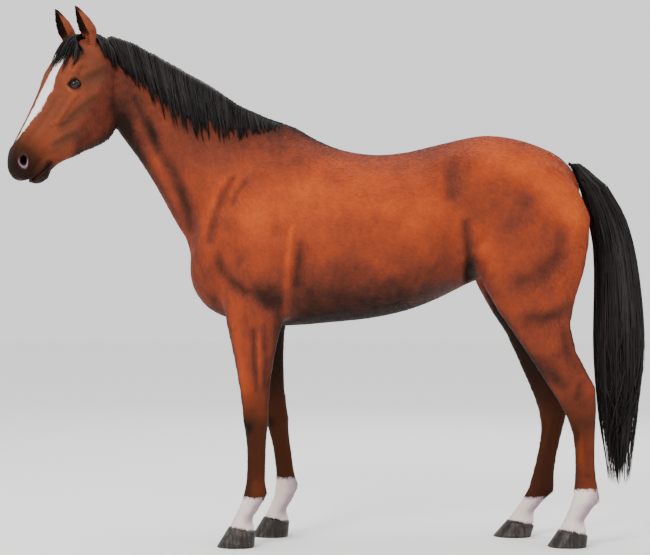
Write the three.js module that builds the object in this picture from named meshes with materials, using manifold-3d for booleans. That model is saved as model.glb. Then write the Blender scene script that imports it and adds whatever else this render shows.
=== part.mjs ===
// A bay riding horse standing still with its head turned to its left, as closed solids in millimetres.
// +Z is up, the horse looks towards -X and its left side is at -Y. The hooves stand at z = 0.
import * as THREE from "three";
import { mergeVertices } from "three/addons/utils/BufferGeometryUtils.js";
import Module from "manifold-3d";

const wasm = await Module();
wasm.setup();

// ---------------------------------------------------------------- driving sizes
const withersHeight = 1620; // ground to the top of the withers
const gap = 0.4; // clearance between two pieces that touch
const sliver = 2.2; // detail below this size is left out where two forms are joined

const headLength = 612; // poll to the end of the upper lip
const headPitch = 56.5; // degrees that the face line falls below the horizontal
const headTurn = 33; // degrees that the head looks to its left
const neckBend = { start: -570, length: 330 }; // where the neck starts to bend, and over what length
const poll = [-1000, 1962]; // the point between the ears, before the neck is bent

const eyeRadius = 22;
const eyeSpread = 95; // from the middle of the head to the middle of an eyeball
const socketClearance = 3;
const earLength = 150;
const earBase = { left: [-979, 74, 1920], right: [-998, 80, 1925] }; // their roots, before the neck is bent
const earPitch = { left: 19, right: 17 }; // degrees that each ear leans forwards,
const earTurn = { left: 6, right: -12 }; // and that its opening faces outwards

const foreStride = 124; // how far the right forefoot stands behind the left one
const foreSwingFrom = 900; // height from which the right foreleg slants,
const foreSwingGain = 1.19; // how much faster than evenly, so that its pastern stands steeper
const hindStride = -182; // how far the right hind foot stands ahead of the left one
const hindSwingFrom = 825; // height from which the right hind leg slants
const foreTrack = 132; // half the distance between the forefeet
const hindTrack = 128; // and between the hind feet

const maneReach = [-940, -150]; // where the mane starts behind the poll and ends on the withers
const maneThickness = 19; // at the crest
const maneTipThickness = 12;

// Heights where one piece of a leg ends and the next begins. The cut at the stifle rises backwards.
const elbowCut = 834;
const stifleCut = { x: 540, z: 992, slope: 0.22 };
const kneeCut = 545;
const hockCut = 480;
const sockCut = 205;

// ---------------------------------------------------------------- colours
const bay = new THREE.Color("#a9522c");
const darkBay = new THREE.Color("#5f3120");
const white = new THREE.Color("#e9dfd6");
const black = new THREE.Color("#231e1d");
const horn = new THREE.Color("#4b4643");
const coat = (color) => new THREE.MeshStandardMaterial({ color, roughness: 0.55, metalness: 0 });
const bayCoat = coat(bay);
const darkCoat = coat(darkBay);
const whiteCoat = coat(white);
const longHair = new THREE.MeshStandardMaterial({ color: black, roughness: 0.6, metalness: 0 });
const hoofHorn = new THREE.MeshStandardMaterial({ color: horn, roughness: 0.5, metalness: 0 });
const eyeGloss = new THREE.MeshStandardMaterial({ color: "#120b08", roughness: 0.08, metalness: 0 });

// ---------------------------------------------------------------- lofting
// A section lies between two points of the side outline, a and b, each [x, z]. half is its half width,
// widest the share of the way from a to b where that is reached, roundA and roundB how square the section is
// towards a and towards b (2 is an ellipse, less is a ridge, more is a box), and y its middle.
function section(a, b, half, { widest = 0.5, roundA = 2, roundB = 2, y = 0 } = {}) {
  return { a, b, half, widest, roundA, roundB, y };
}

const curveThrough = (points) =>
  new THREE.CatmullRomCurve3(points.map((p) => new THREE.Vector3(...p)), false, "catmullrom", 0.5);

const signedPower = (value, power) => Math.sign(value) * Math.abs(value) ** power;

// A closed surface through the sections, with ringsPerSpan rings from one to the next.
function loft(sections, ringsPerSpan, sides) {
  const edgeA = curveThrough(sections.map((s) => [s.a[0], s.y, s.a[1]]));
  const edgeB = curveThrough(sections.map((s) => [s.b[0], s.y, s.b[1]]));
  const girth = curveThrough(sections.map((s) => [s.half, s.widest, 0]));
  const roundness = curveThrough(sections.map((s) => [s.roundA, s.roundB, 0]));
  const rings = (sections.length - 1) * ringsPerSpan;
  const positions = [];
  for (let ring = 0; ring <= rings; ring++) {
    const t = ring / rings;
    const a = edgeA.getPoint(t);
    const b = edgeB.getPoint(t);
    const { x: half, y: widest } = girth.getPoint(t);
    const round = roundness.getPoint(t);
    const middle = a.clone().lerp(b, widest);
    for (let side = 0; side < sides; side++) {
      const angle = (2 * Math.PI * side) / sides;
      const power = 2 / (Math.cos(angle) > 0 ? round.x : round.y);
      const along = signedPower(Math.cos(angle), power);
      const across = signedPower(Math.sin(angle), power);
      const point = middle.clone().lerp(along > 0 ? a : b, Math.abs(along));
      positions.push(point.x, point.y + Math.abs(half) * across, point.z);
    }
  }
  return skinned(positions, sides);
}

// Closes a run of rings of points, each with as many sides, into a surface with flat ends.
function skinned(positions, sides) {
  const rings = positions.length / 3 / sides - 1;
  const index = [];
  for (let ring = 0; ring < rings; ring++) {
    for (let side = 0; side < sides; side++) {
      const next = (side + 1) % sides;
      const [p, q] = [ring * sides + side, ring * sides + next];
      index.push(p, q, p + sides, q, q + sides, p + sides);
    }
  }
  for (let side = 1; side < sides - 1; side++) {
    index.push(0, side + 1, side);
    const last = rings * sides;
    index.push(last, last + side, last + side + 1);
  }
  const geometry = new THREE.BufferGeometry();
  geometry.setAttribute("position", new THREE.Float32BufferAttribute(positions, 3));
  geometry.setIndex(index);
  return facingOut(geometry);
}

// Turns the faces round if they enclose a negative volume.
function facingOut(geometry) {
  const { position } = geometry.attributes;
  const index = geometry.index.array;
  const [p, q, r] = [new THREE.Vector3(), new THREE.Vector3(), new THREE.Vector3()];
  let volume = 0;
  for (let i = 0; i < index.length; i += 3) {
    p.fromBufferAttribute(position, index[i]);
    q.fromBufferAttribute(position, index[i + 1]);
    r.fromBufferAttribute(position, index[i + 2]);
    volume += p.dot(q.cross(r));
  }
  if (volume < 0) {
    for (let i = 0; i < index.length; i += 3) {
      [index[i + 1], index[i + 2]] = [index[i + 2], index[i + 1]];
    }
  }
  return geometry;
}

// Moves every vertex of a geometry to the place that move gives for it.
function reshaped(geometry, move) {
  const { position } = geometry.attributes;
  const point = new THREE.Vector3();
  for (let i = 0; i < position.count; i++) {
    point.fromBufferAttribute(position, i);
    move(point);
    position.setXYZ(i, point.x, point.y, point.z);
  }
  return geometry;
}

const otherSide = (geometry) => facingOut(geometry.clone().scale(1, -1, 1));

// Raises or sinks the sides of a form along a list of muscles and hollows. Each has the two ends of its
// line in the side view, how far it reaches from that line and how much it rises.
function muscled(geometry, muscles, middleY = 0) {
  const line = new THREE.Line3();
  const nearest = new THREE.Vector3();
  return reshaped(geometry, (point) => {
    const inPlane = new THREE.Vector3(point.x, 0, point.z);
    const outward = point.y - middleY;
    let rise = 0;
    for (const { from, to, reach, rise: height } of muscles) {
      line.start.set(from[0], 0, from[1]);
      line.end.set(to[0], 0, to[1]);
      line.closestPointToPoint(inPlane, true, nearest);
      rise += height * Math.exp(-((nearest.distanceTo(inPlane) / reach) ** 2));
    }
    point.y += Math.sign(outward) * rise * THREE.MathUtils.smoothstep(Math.abs(outward), 0, 60);
  });
}

// ---------------------------------------------------------------- the turn of the neck and head
// The neck bends on an arc about an upright axis at the horse's left, and the head goes on straight from it.
function turned(geometry) {
  const whole = THREE.MathUtils.degToRad(headTurn);
  const radius = neckBend.length / whole;
  return reshaped(geometry, (point) => {
    const ahead = neckBend.start - point.x;
    if (ahead <= 0) return;
    const angle = (Math.min(ahead, neckBend.length) / neckBend.length) * whole;
    const straight = Math.max(0, ahead - neckBend.length);
    const out = radius + point.y;
    point.x = neckBend.start - out * Math.sin(angle) - straight * Math.cos(angle);
    point.y = out * Math.cos(angle) - radius - straight * Math.sin(angle);
  });
}

// The head has a frame of its own: x runs from the poll down the face, z out of the forehead, y to its left.
const pitch = THREE.MathUtils.degToRad(headPitch);
const headFrame = new THREE.Matrix4()
  .makeBasis(
    new THREE.Vector3(-Math.cos(pitch), 0, -Math.sin(pitch)),
    new THREE.Vector3(0, -1, 0),
    new THREE.Vector3(-Math.sin(pitch), 0, Math.cos(pitch)),
  )
  .setPosition(poll[0], 0, poll[1]);
const onHead = (geometry) => geometry.applyMatrix4(headFrame);

// ---------------------------------------------------------------- solids
function solidOf(geometry) {
  const bare = new THREE.BufferGeometry();
  bare.setAttribute("position", geometry.getAttribute("position").clone());
  if (geometry.index) bare.setIndex(geometry.index.clone());
  const merged = mergeVertices(bare, 1e-3);
  return new wasm.Manifold(
    new wasm.Mesh({
      numProp: 3,
      vertProperties: merged.attributes.position.array,
      triVerts: new Uint32Array(merged.index.array),
    }),
  );
}

function geometryOf(solid) {
  const { numProp, numVert, vertProperties, triVerts } = solid.getMesh();
  const positions = [];
  for (let i = 0; i < numVert; i++) {
    positions.push(...vertProperties.subarray(i * numProp, i * numProp + 3));
  }
  const geometry = new THREE.BufferGeometry();
  geometry.setAttribute("position", new THREE.Float32BufferAttribute(positions, 3));
  geometry.setIndex(new THREE.BufferAttribute(triVerts, 1));
  geometry.computeVertexNormals();
  return geometry;
}

// One solid from several, without the slivers that the join leaves where two surfaces cross.
const joined = (solids) => solids.reduce((whole, solid) => whole.add(solid)).asOriginal().simplify(sliver);

// The same solid with its skin moved out, which clears a neighbour by that much.
function grown(solid, by) {
  const geometry = geometryOf(solid);
  const { position, normal } = geometry.attributes;
  for (let i = 0; i < position.count; i++) {
    position.setXYZ(
      i,
      position.getX(i) + by * normal.getX(i),
      position.getY(i) + by * normal.getY(i),
      position.getZ(i) + by * normal.getZ(i),
    );
  }
  return solidOf(geometry);
}

// A block with the given outline in the side view, between two distances across.
function prism(outline, [y0, y1]) {
  const shape = new THREE.Shape(outline.map(([x, z]) => new THREE.Vector2(x, z)));
  const geometry = new THREE.ExtrudeGeometry(shape, { depth: y1 - y0, bevelEnabled: false });
  geometry.rotateX(Math.PI / 2);
  geometry.translate(0, y1, 0);
  return facingOut(mergeVertices(geometry.deleteAttribute("normal").deleteAttribute("uv")));
}

// Everything ahead of a line in the side view, which turns with the neck, and everything under one. Both are
// functions of how far the line is moved, so that a cut can have a width.
const aheadOf = ([topX, topZ], [lowX, lowZ]) => (by) => {
  const reach = 1500;
  const outline = [[topX - by, topZ], [topX - reach, topZ], [lowX - reach, lowZ], [lowX - by, lowZ]];
  return solidOf(turned(prism(outline, [-280, 700])));
};

const under = ([[x0, z0], [x1, z1]], across) => (by) =>
  solidOf(prism([[x0, z0 - by], [x1, z1 - by], [x1, -100], [x0, -100]], across));

// Parts a solid by a region into what is inside it and the rest, with the gap between them.
const parted = (solid, region) => [solid.intersect(region(gap / 2)), solid.subtract(region(-gap / 2))];

// ---------------------------------------------------------------- trunk
function makeTrunk() {
  const top = withersHeight;
  const chest = { roundA: 2, roundB: 2.3, widest: 0.55 };
  const withers = { roundA: 1.5, roundB: 2.3, widest: 0.6 };
  const barrel = { roundA: 2, roundB: 2.2, widest: 0.54 };
  const croup = { roundA: 2.15, roundB: 1.9, widest: 0.42 };
  const form = loft(
    [
      section([-546, 1110], [-546, 1050], 40),
      section([-527, 1230], [-532, 985], 125, chest),
      section([-480, 1400], [-478, 910], 180, chest),
      section([-400, 1540], [-390, 868], 205, { ...chest, roundA: 1.7 }),
      section([-290, top - 2], [-285, 845], 218, withers),
      section([-180, top], [-176, 840], 232, withers),
      section([-75, 1583], [-75, 846], 252, { ...withers, roundA: 1.65 }),
      section([40, 1534], [40, 856], 270, { ...barrel, roundA: 1.85 }),
      section([175, 1513], [175, 872], 278, barrel),
      section([310, 1525], [310, 903], 275, { ...barrel, widest: 0.5 }),
      section([430, 1554], [430, 950], 262, { ...croup, widest: 0.46 }),
      section([545, 1580], [540, 1005], 252, croup),
      section([626, 1587], [615, 1030], 250, croup),
      section([725, 1573], [715, 1050], 240, croup),
      section([820, 1542], [800, 1090], 212, croup),
      section([895, 1503], [875, 1150], 165, croup),
      section([950, 1445], [935, 1225], 100),
      section([975, 1380], [965, 1300], 40),
    ],
    2,
    24,
  );
  return muscled(form, [
    { from: [-230, 1540], to: [-470, 1150], reach: 45, rise: 9 }, // shoulder blade
    { from: [-250, 1180], to: [-215, 1010], reach: 85, rise: 12 }, // triceps
    { from: [-475, 1130], to: [-470, 1100], reach: 50, rise: 12 }, // point of the shoulder
    { from: [-120, 1260], to: [-125, 960], reach: 38, rise: -12 }, // hollow behind the elbow
    { from: [440, 1430], to: [485, 1120], reach: 45, rise: -16 }, // flank
    { from: [475, 1490], to: [500, 1480], reach: 42, rise: 12 }, // point of the hip
  ]);
}

// ---------------------------------------------------------------- neck
function makeNeck() {
  const crest = { roundA: 1.55, roundB: 2, widest: 0.58 };
  return loft(
    [
      section([-915, 1916], [-868, 1650], 62, crest),
      section([-862, 1944], [-820, 1586], 72, crest),
      section([-770, 1920], [-792, 1548], 76, crest),
      section([-668, 1872], [-749, 1491], 79, crest),
      section([-560, 1810], [-701, 1417], 86, crest),
      section([-452, 1752], [-654, 1335], 98, crest),
      section([-342, 1695], [-611, 1255], 118, crest),
      section([-243, 1650], [-566, 1178], 148, crest),
      section([-150, 1608], [-538, 1078], 180, crest),
      section([-90, 1520], [-480, 990], 195, crest),
    ],
    1,
    22,
  );
}

// ---------------------------------------------------------------- head
function makeHead() {
  const skull = { roundA: 2.5, roundB: 1.95 };
  const face = loft(
    [
      section([-34, -58], [-8, -175], 60),
      section([20, -4], [35, -220], 84, { ...skull, widest: 0.34 }),
      section([95, 12], [122, -290], 104, { ...skull, widest: 0.21, roundA: 3 }),
      section([180, 13], [222, -332], 110, { ...skull, widest: 0.17, roundA: 3.2 }),
      section([255, 6], [290, -316], 88, { ...skull, widest: 0.27, roundA: 2.7 }),
      section([342, -5], [358, -272], 67, { ...skull, widest: 0.34 }),
      section([420, -12], [428, -230], 52, { ...skull, widest: 0.42 }),
      section([485, -18], [480, -172], 49, { ...skull, widest: 0.48 }),
      section([540, -28], [535, -150], 56, { widest: 0.45, roundA: 2.2, roundB: 2.2 }),
      section([582, -48], [580, -144], 50, { widest: 0.5, roundA: 2.2, roundB: 2.2 }),
      section([headLength - 9, -70], [headLength - 15, -135], 35),
      section([headLength, -90], [headLength - 3, -108], 12),
    ],
    2,
    22,
  );
  const features = [
    { from: [235, -92], to: [340, -96], reach: 14, rise: 6 }, // facial crest
    { from: [150, -34], to: [205, -30], reach: 20, rise: 13 }, // brow
    { from: [195, -185], to: [215, -195], reach: 75, rise: 7 }, // cheek
    { from: [128, -52], to: [140, -48], reach: 18, rise: -7 }, // hollow above the eye
    { from: [525, -40], to: [555, -50], reach: 24, rise: 6 }, // wing of the nostril
    { from: [400, -120], to: [330, -150], reach: 26, rise: -6 }, // bars of the jaw
  ];
  const chin = loft(
    [
      section([405, -100], [415, -236], 34),
      section([460, -98], [464, -210], 41),
      section([498, -98], [500, -200], 45),
      section([534, -102], [534, -206], 46),
      section([564, -108], [560, -196], 38),
      section([586, -128], [580, -178], 14),
    ],
    1,
    14,
  );
  return [onHead(muscled(face, features)), onHead(chin)];
}

// A ball stretched along the head's own axes, for the eyes, their sockets and the nostrils.
function ballOnHead([along, up, left], [rx, ry, rz], tilt = 0) {
  const ball = new THREE.SphereGeometry(1, 12, 8);
  ball.scale(rx, ry, rz);
  ball.rotateY(THREE.MathUtils.degToRad(tilt));
  ball.translate(along, left, up);
  return solidOf(turned(onHead(ball)));
}

// An ear is a rolled leaf. It is lofted upright, with its opening towards -X, and then turned, leaned
// forwards and set on the skull.
function makeEar(left) {
  const leaf = (shares) => shares.map(([up, front, back, half, lean]) =>
    section([lean - front, up * earLength], [lean + back, up * earLength], half, { widest: 0.6 }));
  const shell = leaf([
    [-0.12, 15, 26, 22, 4],
    [0.1, 25, 33, 29, 2],
    [0.35, 30, 34, 35, 0],
    [0.6, 27, 24, 31, -3],
    [0.82, 15, 13, 18, -10],
    [0.95, 5, 8, 8, -16],
    [1, 2, 2, 3, -19],
  ]);
  const hollow = leaf([
    [0.04, 8, 4, 9, 0],
    [0.14, 40, 10, 18, 0],
    [0.35, 60, 19, 25, 0],
    [0.6, 55, 15, 21, -3],
    [0.82, 45, 8, 12, -10],
    [0.93, 30, 2, 4, -15],
  ]);
  const side = left > 0 ? "left" : "right";
  const [outer, inner] = [shell, hollow].map((sections) => {
    const geometry = loft(sections, 1, 10);
    geometry.rotateZ(THREE.MathUtils.degToRad(left * earTurn[side]));
    geometry.rotateY(THREE.MathUtils.degToRad(-earPitch[side]));
    geometry.translate(earBase[side][0], -left * earBase[side][1], earBase[side][2]);
    return solidOf(turned(geometry));
  });
  return outer.subtract(inner);
}

// ---------------------------------------------------------------- legs
// Slants a leg that stands ahead of or behind its fellow: every point moves by a share of the stride that
// grows from nothing at the height where the slant starts to the whole at the ground.
function strided(geometry, stride, from, gain = 1) {
  return reshaped(geometry, (point) => {
    point.x += stride * THREE.MathUtils.clamp((1 - point.z / from) * gain, 0, 1);
  });
}

function foreLeg() {
  const bone = { roundA: 2.2, roundB: 2 };
  return loft(
    [
      section([-420, 1250], [-160, 1240], 50, { y: 120 }),
      section([-430, 1110], [-148, 1100], 85, { y: 130 }),
      section([-421, 985], [-150, 985], 86, { y: 138 }),
      section([-405, 880], [-168, 885], 76, { y: 143 }),
      section([-385, 790], [-195, 800], 63, { y: 144, widest: 0.45 }),
      section([-366, 700], [-214, 705], 53, { y: 142, widest: 0.45 }),
      section([-350, 605], [-228, 605], 43, { y: 139 }),
      section([-340, 535], [-233, 535], 41, { y: 137, ...bone }),
      section([-335, 485], [-233, 480], 45, { y: 136, ...bone, roundA: 2.6 }),
      section([-326, 425], [-241, 425], 38, { y: 135, ...bone }),
      section([-321, 368], [-243, 368], 28, { y: 134 }),
      section([-321, 305], [-245, 305], 26, { y: 133 }),
      section([-325, 250], [-246, 250], 28, { y: foreTrack }),
      section([-333, 205], [-239, 205], 36, { y: foreTrack }),
      section([-347, 160], [-270, 146], 31, { y: foreTrack }),
      section([-367, 118], [-297, 106], 30, { y: foreTrack }),
      section([-388, 78], [-284, 58], 46, { y: foreTrack }),
    ],
    1,
    14,
  );
}

function hindLeg() {
  const thigh = { roundA: 2, roundB: 2.2 };
  return loft(
    [
      section([700, 1530], [830, 1510], 60, { y: 95 }),
      section([615, 1455], [905, 1440], 100, { y: 118, ...thigh }),
      section([560, 1360], [962, 1355], 122, { y: 124, ...thigh }),
      section([532, 1240], [1000, 1265], 130, { y: 127, ...thigh }),
      section([545, 1110], [995, 1160], 126, { y: 130, ...thigh }),
      section([582, 1005], [975, 1055], 106, { y: 138, ...thigh }),
      section([640, 900], [940, 945], 84, { y: 144 }),
      section([705, 808], [922, 852], 66, { y: 143 }),
      section([770, 712], [945, 748], 50, { y: 138 }),
      section([828, 620], [990, 670], 39, { y: 134, roundB: 1.7 }),
      section([868, 560], [1020, 612], 40, { y: 131, roundB: 1.8 }),
      section([905, 495], [1024, 540], 42, { y: 130 }),
      section([928, 430], [1020, 465], 36, { y: 129 }),
      section([935, 372], [1018, 395], 28, { y: hindTrack }),
      section([936, 300], [1018, 315], 26, { y: hindTrack }),
      section([934, 240], [1024, 250], 29, { y: hindTrack }),
      section([930, 190], [1036, 188], 37, { y: hindTrack }),
      section([914, 143], [1003, 138], 32, { y: hindTrack }),
      section([896, 104], [976, 97], 30, { y: hindTrack }),
      section([876, 66], [988, 46], 46, { y: hindTrack }),
    ],
    1,
    14,
  );
}

// A hoof stands on a flat sole and widens from the coronet, just under the end of the leg, to the ground.
function hoof(coronetFront, coronetBack, toe, heel, y) {
  const under = gap + 0.1;
  const grip = { y, roundA: 2.2, roundB: 2.6, widest: 0.55 };
  const lower = ([x, z], share, [groundX]) => [x + (groundX - x) * share, (z - under) * (1 - share)];
  const at = (share, half) =>
    section(lower(coronetFront, share, [toe]), lower(coronetBack, share, [heel]), half, grip);
  return loft([at(0, 48), at(0.5, 57), at(1, 64)], 1, 20);
}

const foreHoof = () => hoof([-388, 78], [-284, 58], -436, -290, foreTrack);
const hindHoof = () => hoof([876, 66], [988, 46], 832, 982, hindTrack);

// ---------------------------------------------------------------- mane, forelock and tail
// The mane is rooted along the crest and hangs over the left side of the neck. Each ring of it starts a little
// to the right of the crest, goes over the top and down the left to a tip, and comes back inside the neck.
function makeMane(forms) {
  const bothSides = new THREE.MeshBasicMaterial({ side: THREE.DoubleSide });
  const skin = forms.map((form) => new THREE.Mesh(form, bothSides));
  const ray = new THREE.Raycaster();
  const hitFrom = (origin, direction) => {
    ray.set(new THREE.Vector3(...origin), new THREE.Vector3(...direction));
    return ray.intersectObjects(skin)[0];
  };
  const fall = curveThrough([60, 135, 200, 228, 222, 180, 110, 60, 16].map((length) => [length, 0, 0]));
  const rings = 28;
  const shares = [0.06, 0.18, 0.4, 0.65, 0.88, 1];
  const positions = [];
  for (let ring = 0; ring <= rings; ring++) {
    const t = ring / rings;
    const x = THREE.MathUtils.lerp(...maneReach, t);
    const top = hitFrom([x, 0.5, 3000], [0, 0, -1]).point.z;
    const tooth = 1 + 0.07 * Math.cos(ring * Math.PI) + 0.05 * Math.sin(ring * 1.9);
    const length = fall.getPoint(t).x * tooth;
    const lean = THREE.MathUtils.lerp(0.3, 0.12, t);
    const outer = [];
    const inner = [];
    for (const share of shares) {
      const down = share * length;
      const { point, face } = hitFrom([x + lean * down, -1000, top - down], [0, 1, 0]);
      const thickness = THREE.MathUtils.lerp(maneThickness, maneTipThickness, share);
      outer.push(point.clone().addScaledVector(face.normal, thickness).toArray());
      inner.unshift(point.clone().addScaledVector(face.normal, -12).toArray());
    }
    const over = maneThickness * Math.min(1, 0.4 + t * 4, 0.3 + (1 - t) * 6);
    positions.push(x, 16, top - 12, x, 12, top + over * 0.8, x, -4, top + over);
    for (const point of [...outer, ...inner]) positions.push(...point);
  }
  return skinned(positions, 3 + 2 * shares.length);
}

// The forelock grows from between the ears and lies down the forehead, a little to the left.
function makeForelock() {
  const lock = (side, end, half) =>
    loft(
      [
        section([-4, 0], [0, -40], 16, { y: 0 }),
        section([22, 20], [22, -40], 26, { y: side * 0.3 }),
        section([70, 32], [70, -30], half, { y: side * 0.7 }),
        section([end - 40, 30], [end - 40, -16], half * 0.75, { y: side }),
        section([end, 22], [end, 8], 4, { y: side * 1.2 }),
      ],
      2,
      8,
    );
  return [lock(-58, 140, 27), lock(-12, 174, 30), lock(36, 160, 27)].map(onHead);
}

function makeTail() {
  const dock = loft(
    [
      section([880, 1480], [900, 1400], 26),
      section([935, 1490], [930, 1408], 34),
      section([1013, 1460], [975, 1372], 46),
      section([1080, 1412], [1012, 1300], 56),
      section([1126, 1352], [1026, 1222], 64),
      section([1162, 1272], [1033, 1140], 70),
      section([1190, 1178], [1036, 1060], 75),
      section([1210, 1061], [1034, 985], 79),
      section([1226, 930], [1027, 900], 82),
      section([1236, 790], [1026, 780], 82),
      section([1236, 660], [1030, 660], 80),
      section([1220, 521], [1042, 532], 72),
      section([1205, 430], [1056, 440], 62),
      section([1180, 370], [1075, 380], 40),
      section([1150, 340], [1110, 345], 12),
    ],
    1,
    16,
  );
  const lock = (x, end, y, half) =>
    loft(
      [
        section([x + half, 640], [x - half, 640], half, { y: y * 0.6 }),
        section([x + half, 480], [x - half, 480], half, { y: y * 0.8 }),
        section([x + half * 0.8, end + 90], [x - half * 0.7, end + 90], half * 0.7, { y }),
        section([x + 5, end], [x - 5, end], 4, { y: y * 1.1 }),
      ],
      1,
      8,
    );
  return [
    dock,
    lock(1078, 285, -28, 30),
    lock(1110, 225, 14, 34),
    lock(1148, 200, -16, 36),
    lock(1178, 262, 30, 32),
    lock(1120, 265, 44, 28),
  ];
}

// ---------------------------------------------------------------- the flesh as one solid
const trunkForm = makeTrunk();
const neckForm = makeNeck();
const headForms = makeHead();
const legForms = {
  fore_left: otherSide(foreLeg()),
  fore_right: strided(foreLeg(), foreStride, foreSwingFrom, foreSwingGain),
  hind_left: otherSide(hindLeg()),
  hind_right: strided(hindLeg(), hindStride, hindSwingFrom),
};
const hoofForms = {
  fore_left: otherSide(foreHoof()),
  fore_right: strided(foreHoof(), foreStride, foreSwingFrom, foreSwingGain),
  hind_left: otherSide(hindHoof()),
  hind_right: strided(hindHoof(), hindStride, hindSwingFrom),
};
const maneForm = makeMane([trunkForm, neckForm, ...headForms]);

const bentForms = [neckForm, ...headForms].map(turned);
let flesh = joined([trunkForm, ...Object.values(legForms), ...bentForms].map(solidOf));
const eyes = {};
for (const [side, left] of [["left", 1], ["right", -1]]) {
  const place = [202, -67, left * eyeSpread];
  const socket = eyeRadius + socketClearance;
  eyes[side] = ballOnHead(place, [eyeRadius, eyeRadius, eyeRadius]);
  flesh = flesh.subtract(ballOnHead(place, [socket, socket, eyeRadius + gap]));
  flesh = flesh.subtract(ballOnHead([548, -70, left * 55], [20, 17, 12], 35));
}
const clearOfFlesh = grown(flesh, gap);

// ---------------------------------------------------------------- parting it into pieces
const horse = new THREE.Group();
function add(name, solid, material) {
  const mesh = new THREE.Mesh(geometryOf(solid), material);
  mesh.name = name;
  horse.add(mesh);
}

let restOfFlesh = flesh;
for (const leg of Object.keys(legForms)) {
  const [end, side] = leg.split("_");
  const fore = end === "fore";
  const across = side === "left" ? [-500, 0] : [0, 500];
  const along = fore ? [-800, 200] : [515, 1400];
  const level = (z) => under(along.map((x) => [x, z]), across);
  const stifle = along.map((x) => [x, stifleCut.z + stifleCut.slope * (x - stifleCut.x)]);
  let whole;
  [whole, restOfFlesh] = parted(restOfFlesh, fore ? level(elbowCut) : under(stifle, across));
  const [lower, upper] = parted(whole, level(fore ? kneeCut : hockCut));
  const [pastern, cannon] = parted(lower, level(sockCut));
  add(`${fore ? "forearm" : "gaskin"}_${side}`, upper, bayCoat);
  add(`cannon_${leg}`, cannon, darkCoat);
  add(`pastern_${leg}`, pastern, whiteCoat);
  add(`hoof_${leg}`, solidOf(hoofForms[leg]), hoofHorn);
}
const [head, neckAndTrunk] = parted(restOfFlesh, aheadOf([-905, 2300], [-862, 1350]));
const [neck, trunk] = parted(neckAndTrunk, aheadOf([70, 2300], [-612, 1000]));
add("head", head, bayCoat);
add("neck", neck, bayCoat);
add("trunk", trunk, bayCoat);
add("eye_left", eyes.left, eyeGloss);
add("eye_right", eyes.right, eyeGloss);

// ---------------------------------------------------------------- ears and long hair
const ears = { left: makeEar(1).subtract(clearOfFlesh), right: makeEar(-1).subtract(clearOfFlesh) };
const clearOfEars = joined(Object.values(ears).map((ear) => grown(ear, gap)));
const clearOfBoth = clearOfFlesh.add(clearOfEars);
const mane = solidOf(turned(maneForm)).subtract(clearOfBoth);
const forelock = joined(makeForelock().map(turned).map(solidOf)).subtract(clearOfBoth);
add("ear_left", ears.left, bayCoat);
add("ear_right", ears.right, bayCoat);
add("mane", mane, longHair);
add("forelock", forelock.subtract(grown(mane, gap)), longHair);
add("tail", joined(makeTail().map(solidOf)).subtract(clearOfFlesh), longHair);

// The origin is on the ground under the middle of the horse.
const bounds = new THREE.Box3().setFromObject(horse);
const centre = bounds.getCenter(new THREE.Vector3());
horse.position.set(-centre.x, -centre.y, -bounds.min.z);

export default horse;
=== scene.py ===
import math
import bpy
import numpy as np
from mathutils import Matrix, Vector
from mathutils.bvhtree import BVHTree


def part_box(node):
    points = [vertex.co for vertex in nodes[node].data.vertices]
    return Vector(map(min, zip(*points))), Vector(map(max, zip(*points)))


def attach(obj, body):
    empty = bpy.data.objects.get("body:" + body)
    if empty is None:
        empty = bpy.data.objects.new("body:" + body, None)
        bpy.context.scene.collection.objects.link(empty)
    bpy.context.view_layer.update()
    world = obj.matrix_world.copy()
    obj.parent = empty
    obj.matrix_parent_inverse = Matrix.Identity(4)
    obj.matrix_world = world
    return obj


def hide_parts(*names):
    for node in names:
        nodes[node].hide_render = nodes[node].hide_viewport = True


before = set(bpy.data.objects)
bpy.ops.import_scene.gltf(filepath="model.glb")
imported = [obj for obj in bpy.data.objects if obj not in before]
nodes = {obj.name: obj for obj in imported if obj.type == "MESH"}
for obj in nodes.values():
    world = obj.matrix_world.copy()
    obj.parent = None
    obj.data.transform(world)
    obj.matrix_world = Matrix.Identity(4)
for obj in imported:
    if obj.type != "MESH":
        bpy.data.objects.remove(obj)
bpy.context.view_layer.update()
print("frame loaded:", len(nodes), "nodes")


def deselectAll():
    if bpy.context.object and bpy.context.object.mode != "OBJECT":
        bpy.ops.object.mode_set(mode="OBJECT")
    bpy.ops.object.select_all(action="DESELECT")


def makeActive(obj):
    deselectAll()
    obj.select_set(True)
    bpy.context.view_layer.objects.active = obj


def openInEdit(obj, action="SELECT", kind="FACE"):
    makeActive(obj)
    bpy.ops.object.mode_set(mode="EDIT")
    bpy.ops.mesh.select_mode(type=kind)
    bpy.ops.mesh.select_all(action=action)


def applyModifier(obj, kind, **settings):
    makeActive(obj)
    modifier = obj.modifiers.new(kind.lower(), kind)
    for key, value in settings.items():
        setattr(modifier, key, value)
    bpy.ops.object.modifier_apply(modifier=modifier.name)


def coordsOf(obj):
    co = np.empty(len(obj.data.vertices) * 3, np.float32)
    obj.data.vertices.foreach_get("co", co)
    return co.reshape(-1, 3).astype(float)


def setCoords(obj, co):
    obj.data.vertices.foreach_set("co", co.astype(np.float32).ravel())
    obj.data.update()


def normalsOf(obj):
    no = np.empty(len(obj.data.vertices) * 3, np.float32)
    obj.data.vertex_normals.foreach_get("vector", no)
    return no.reshape(-1, 3).astype(float)


def edgesOf(obj):
    edges = np.empty(len(obj.data.edges) * 2, np.int32)
    obj.data.edges.foreach_get("vertices", edges)
    return edges.reshape(-1, 2)


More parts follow.
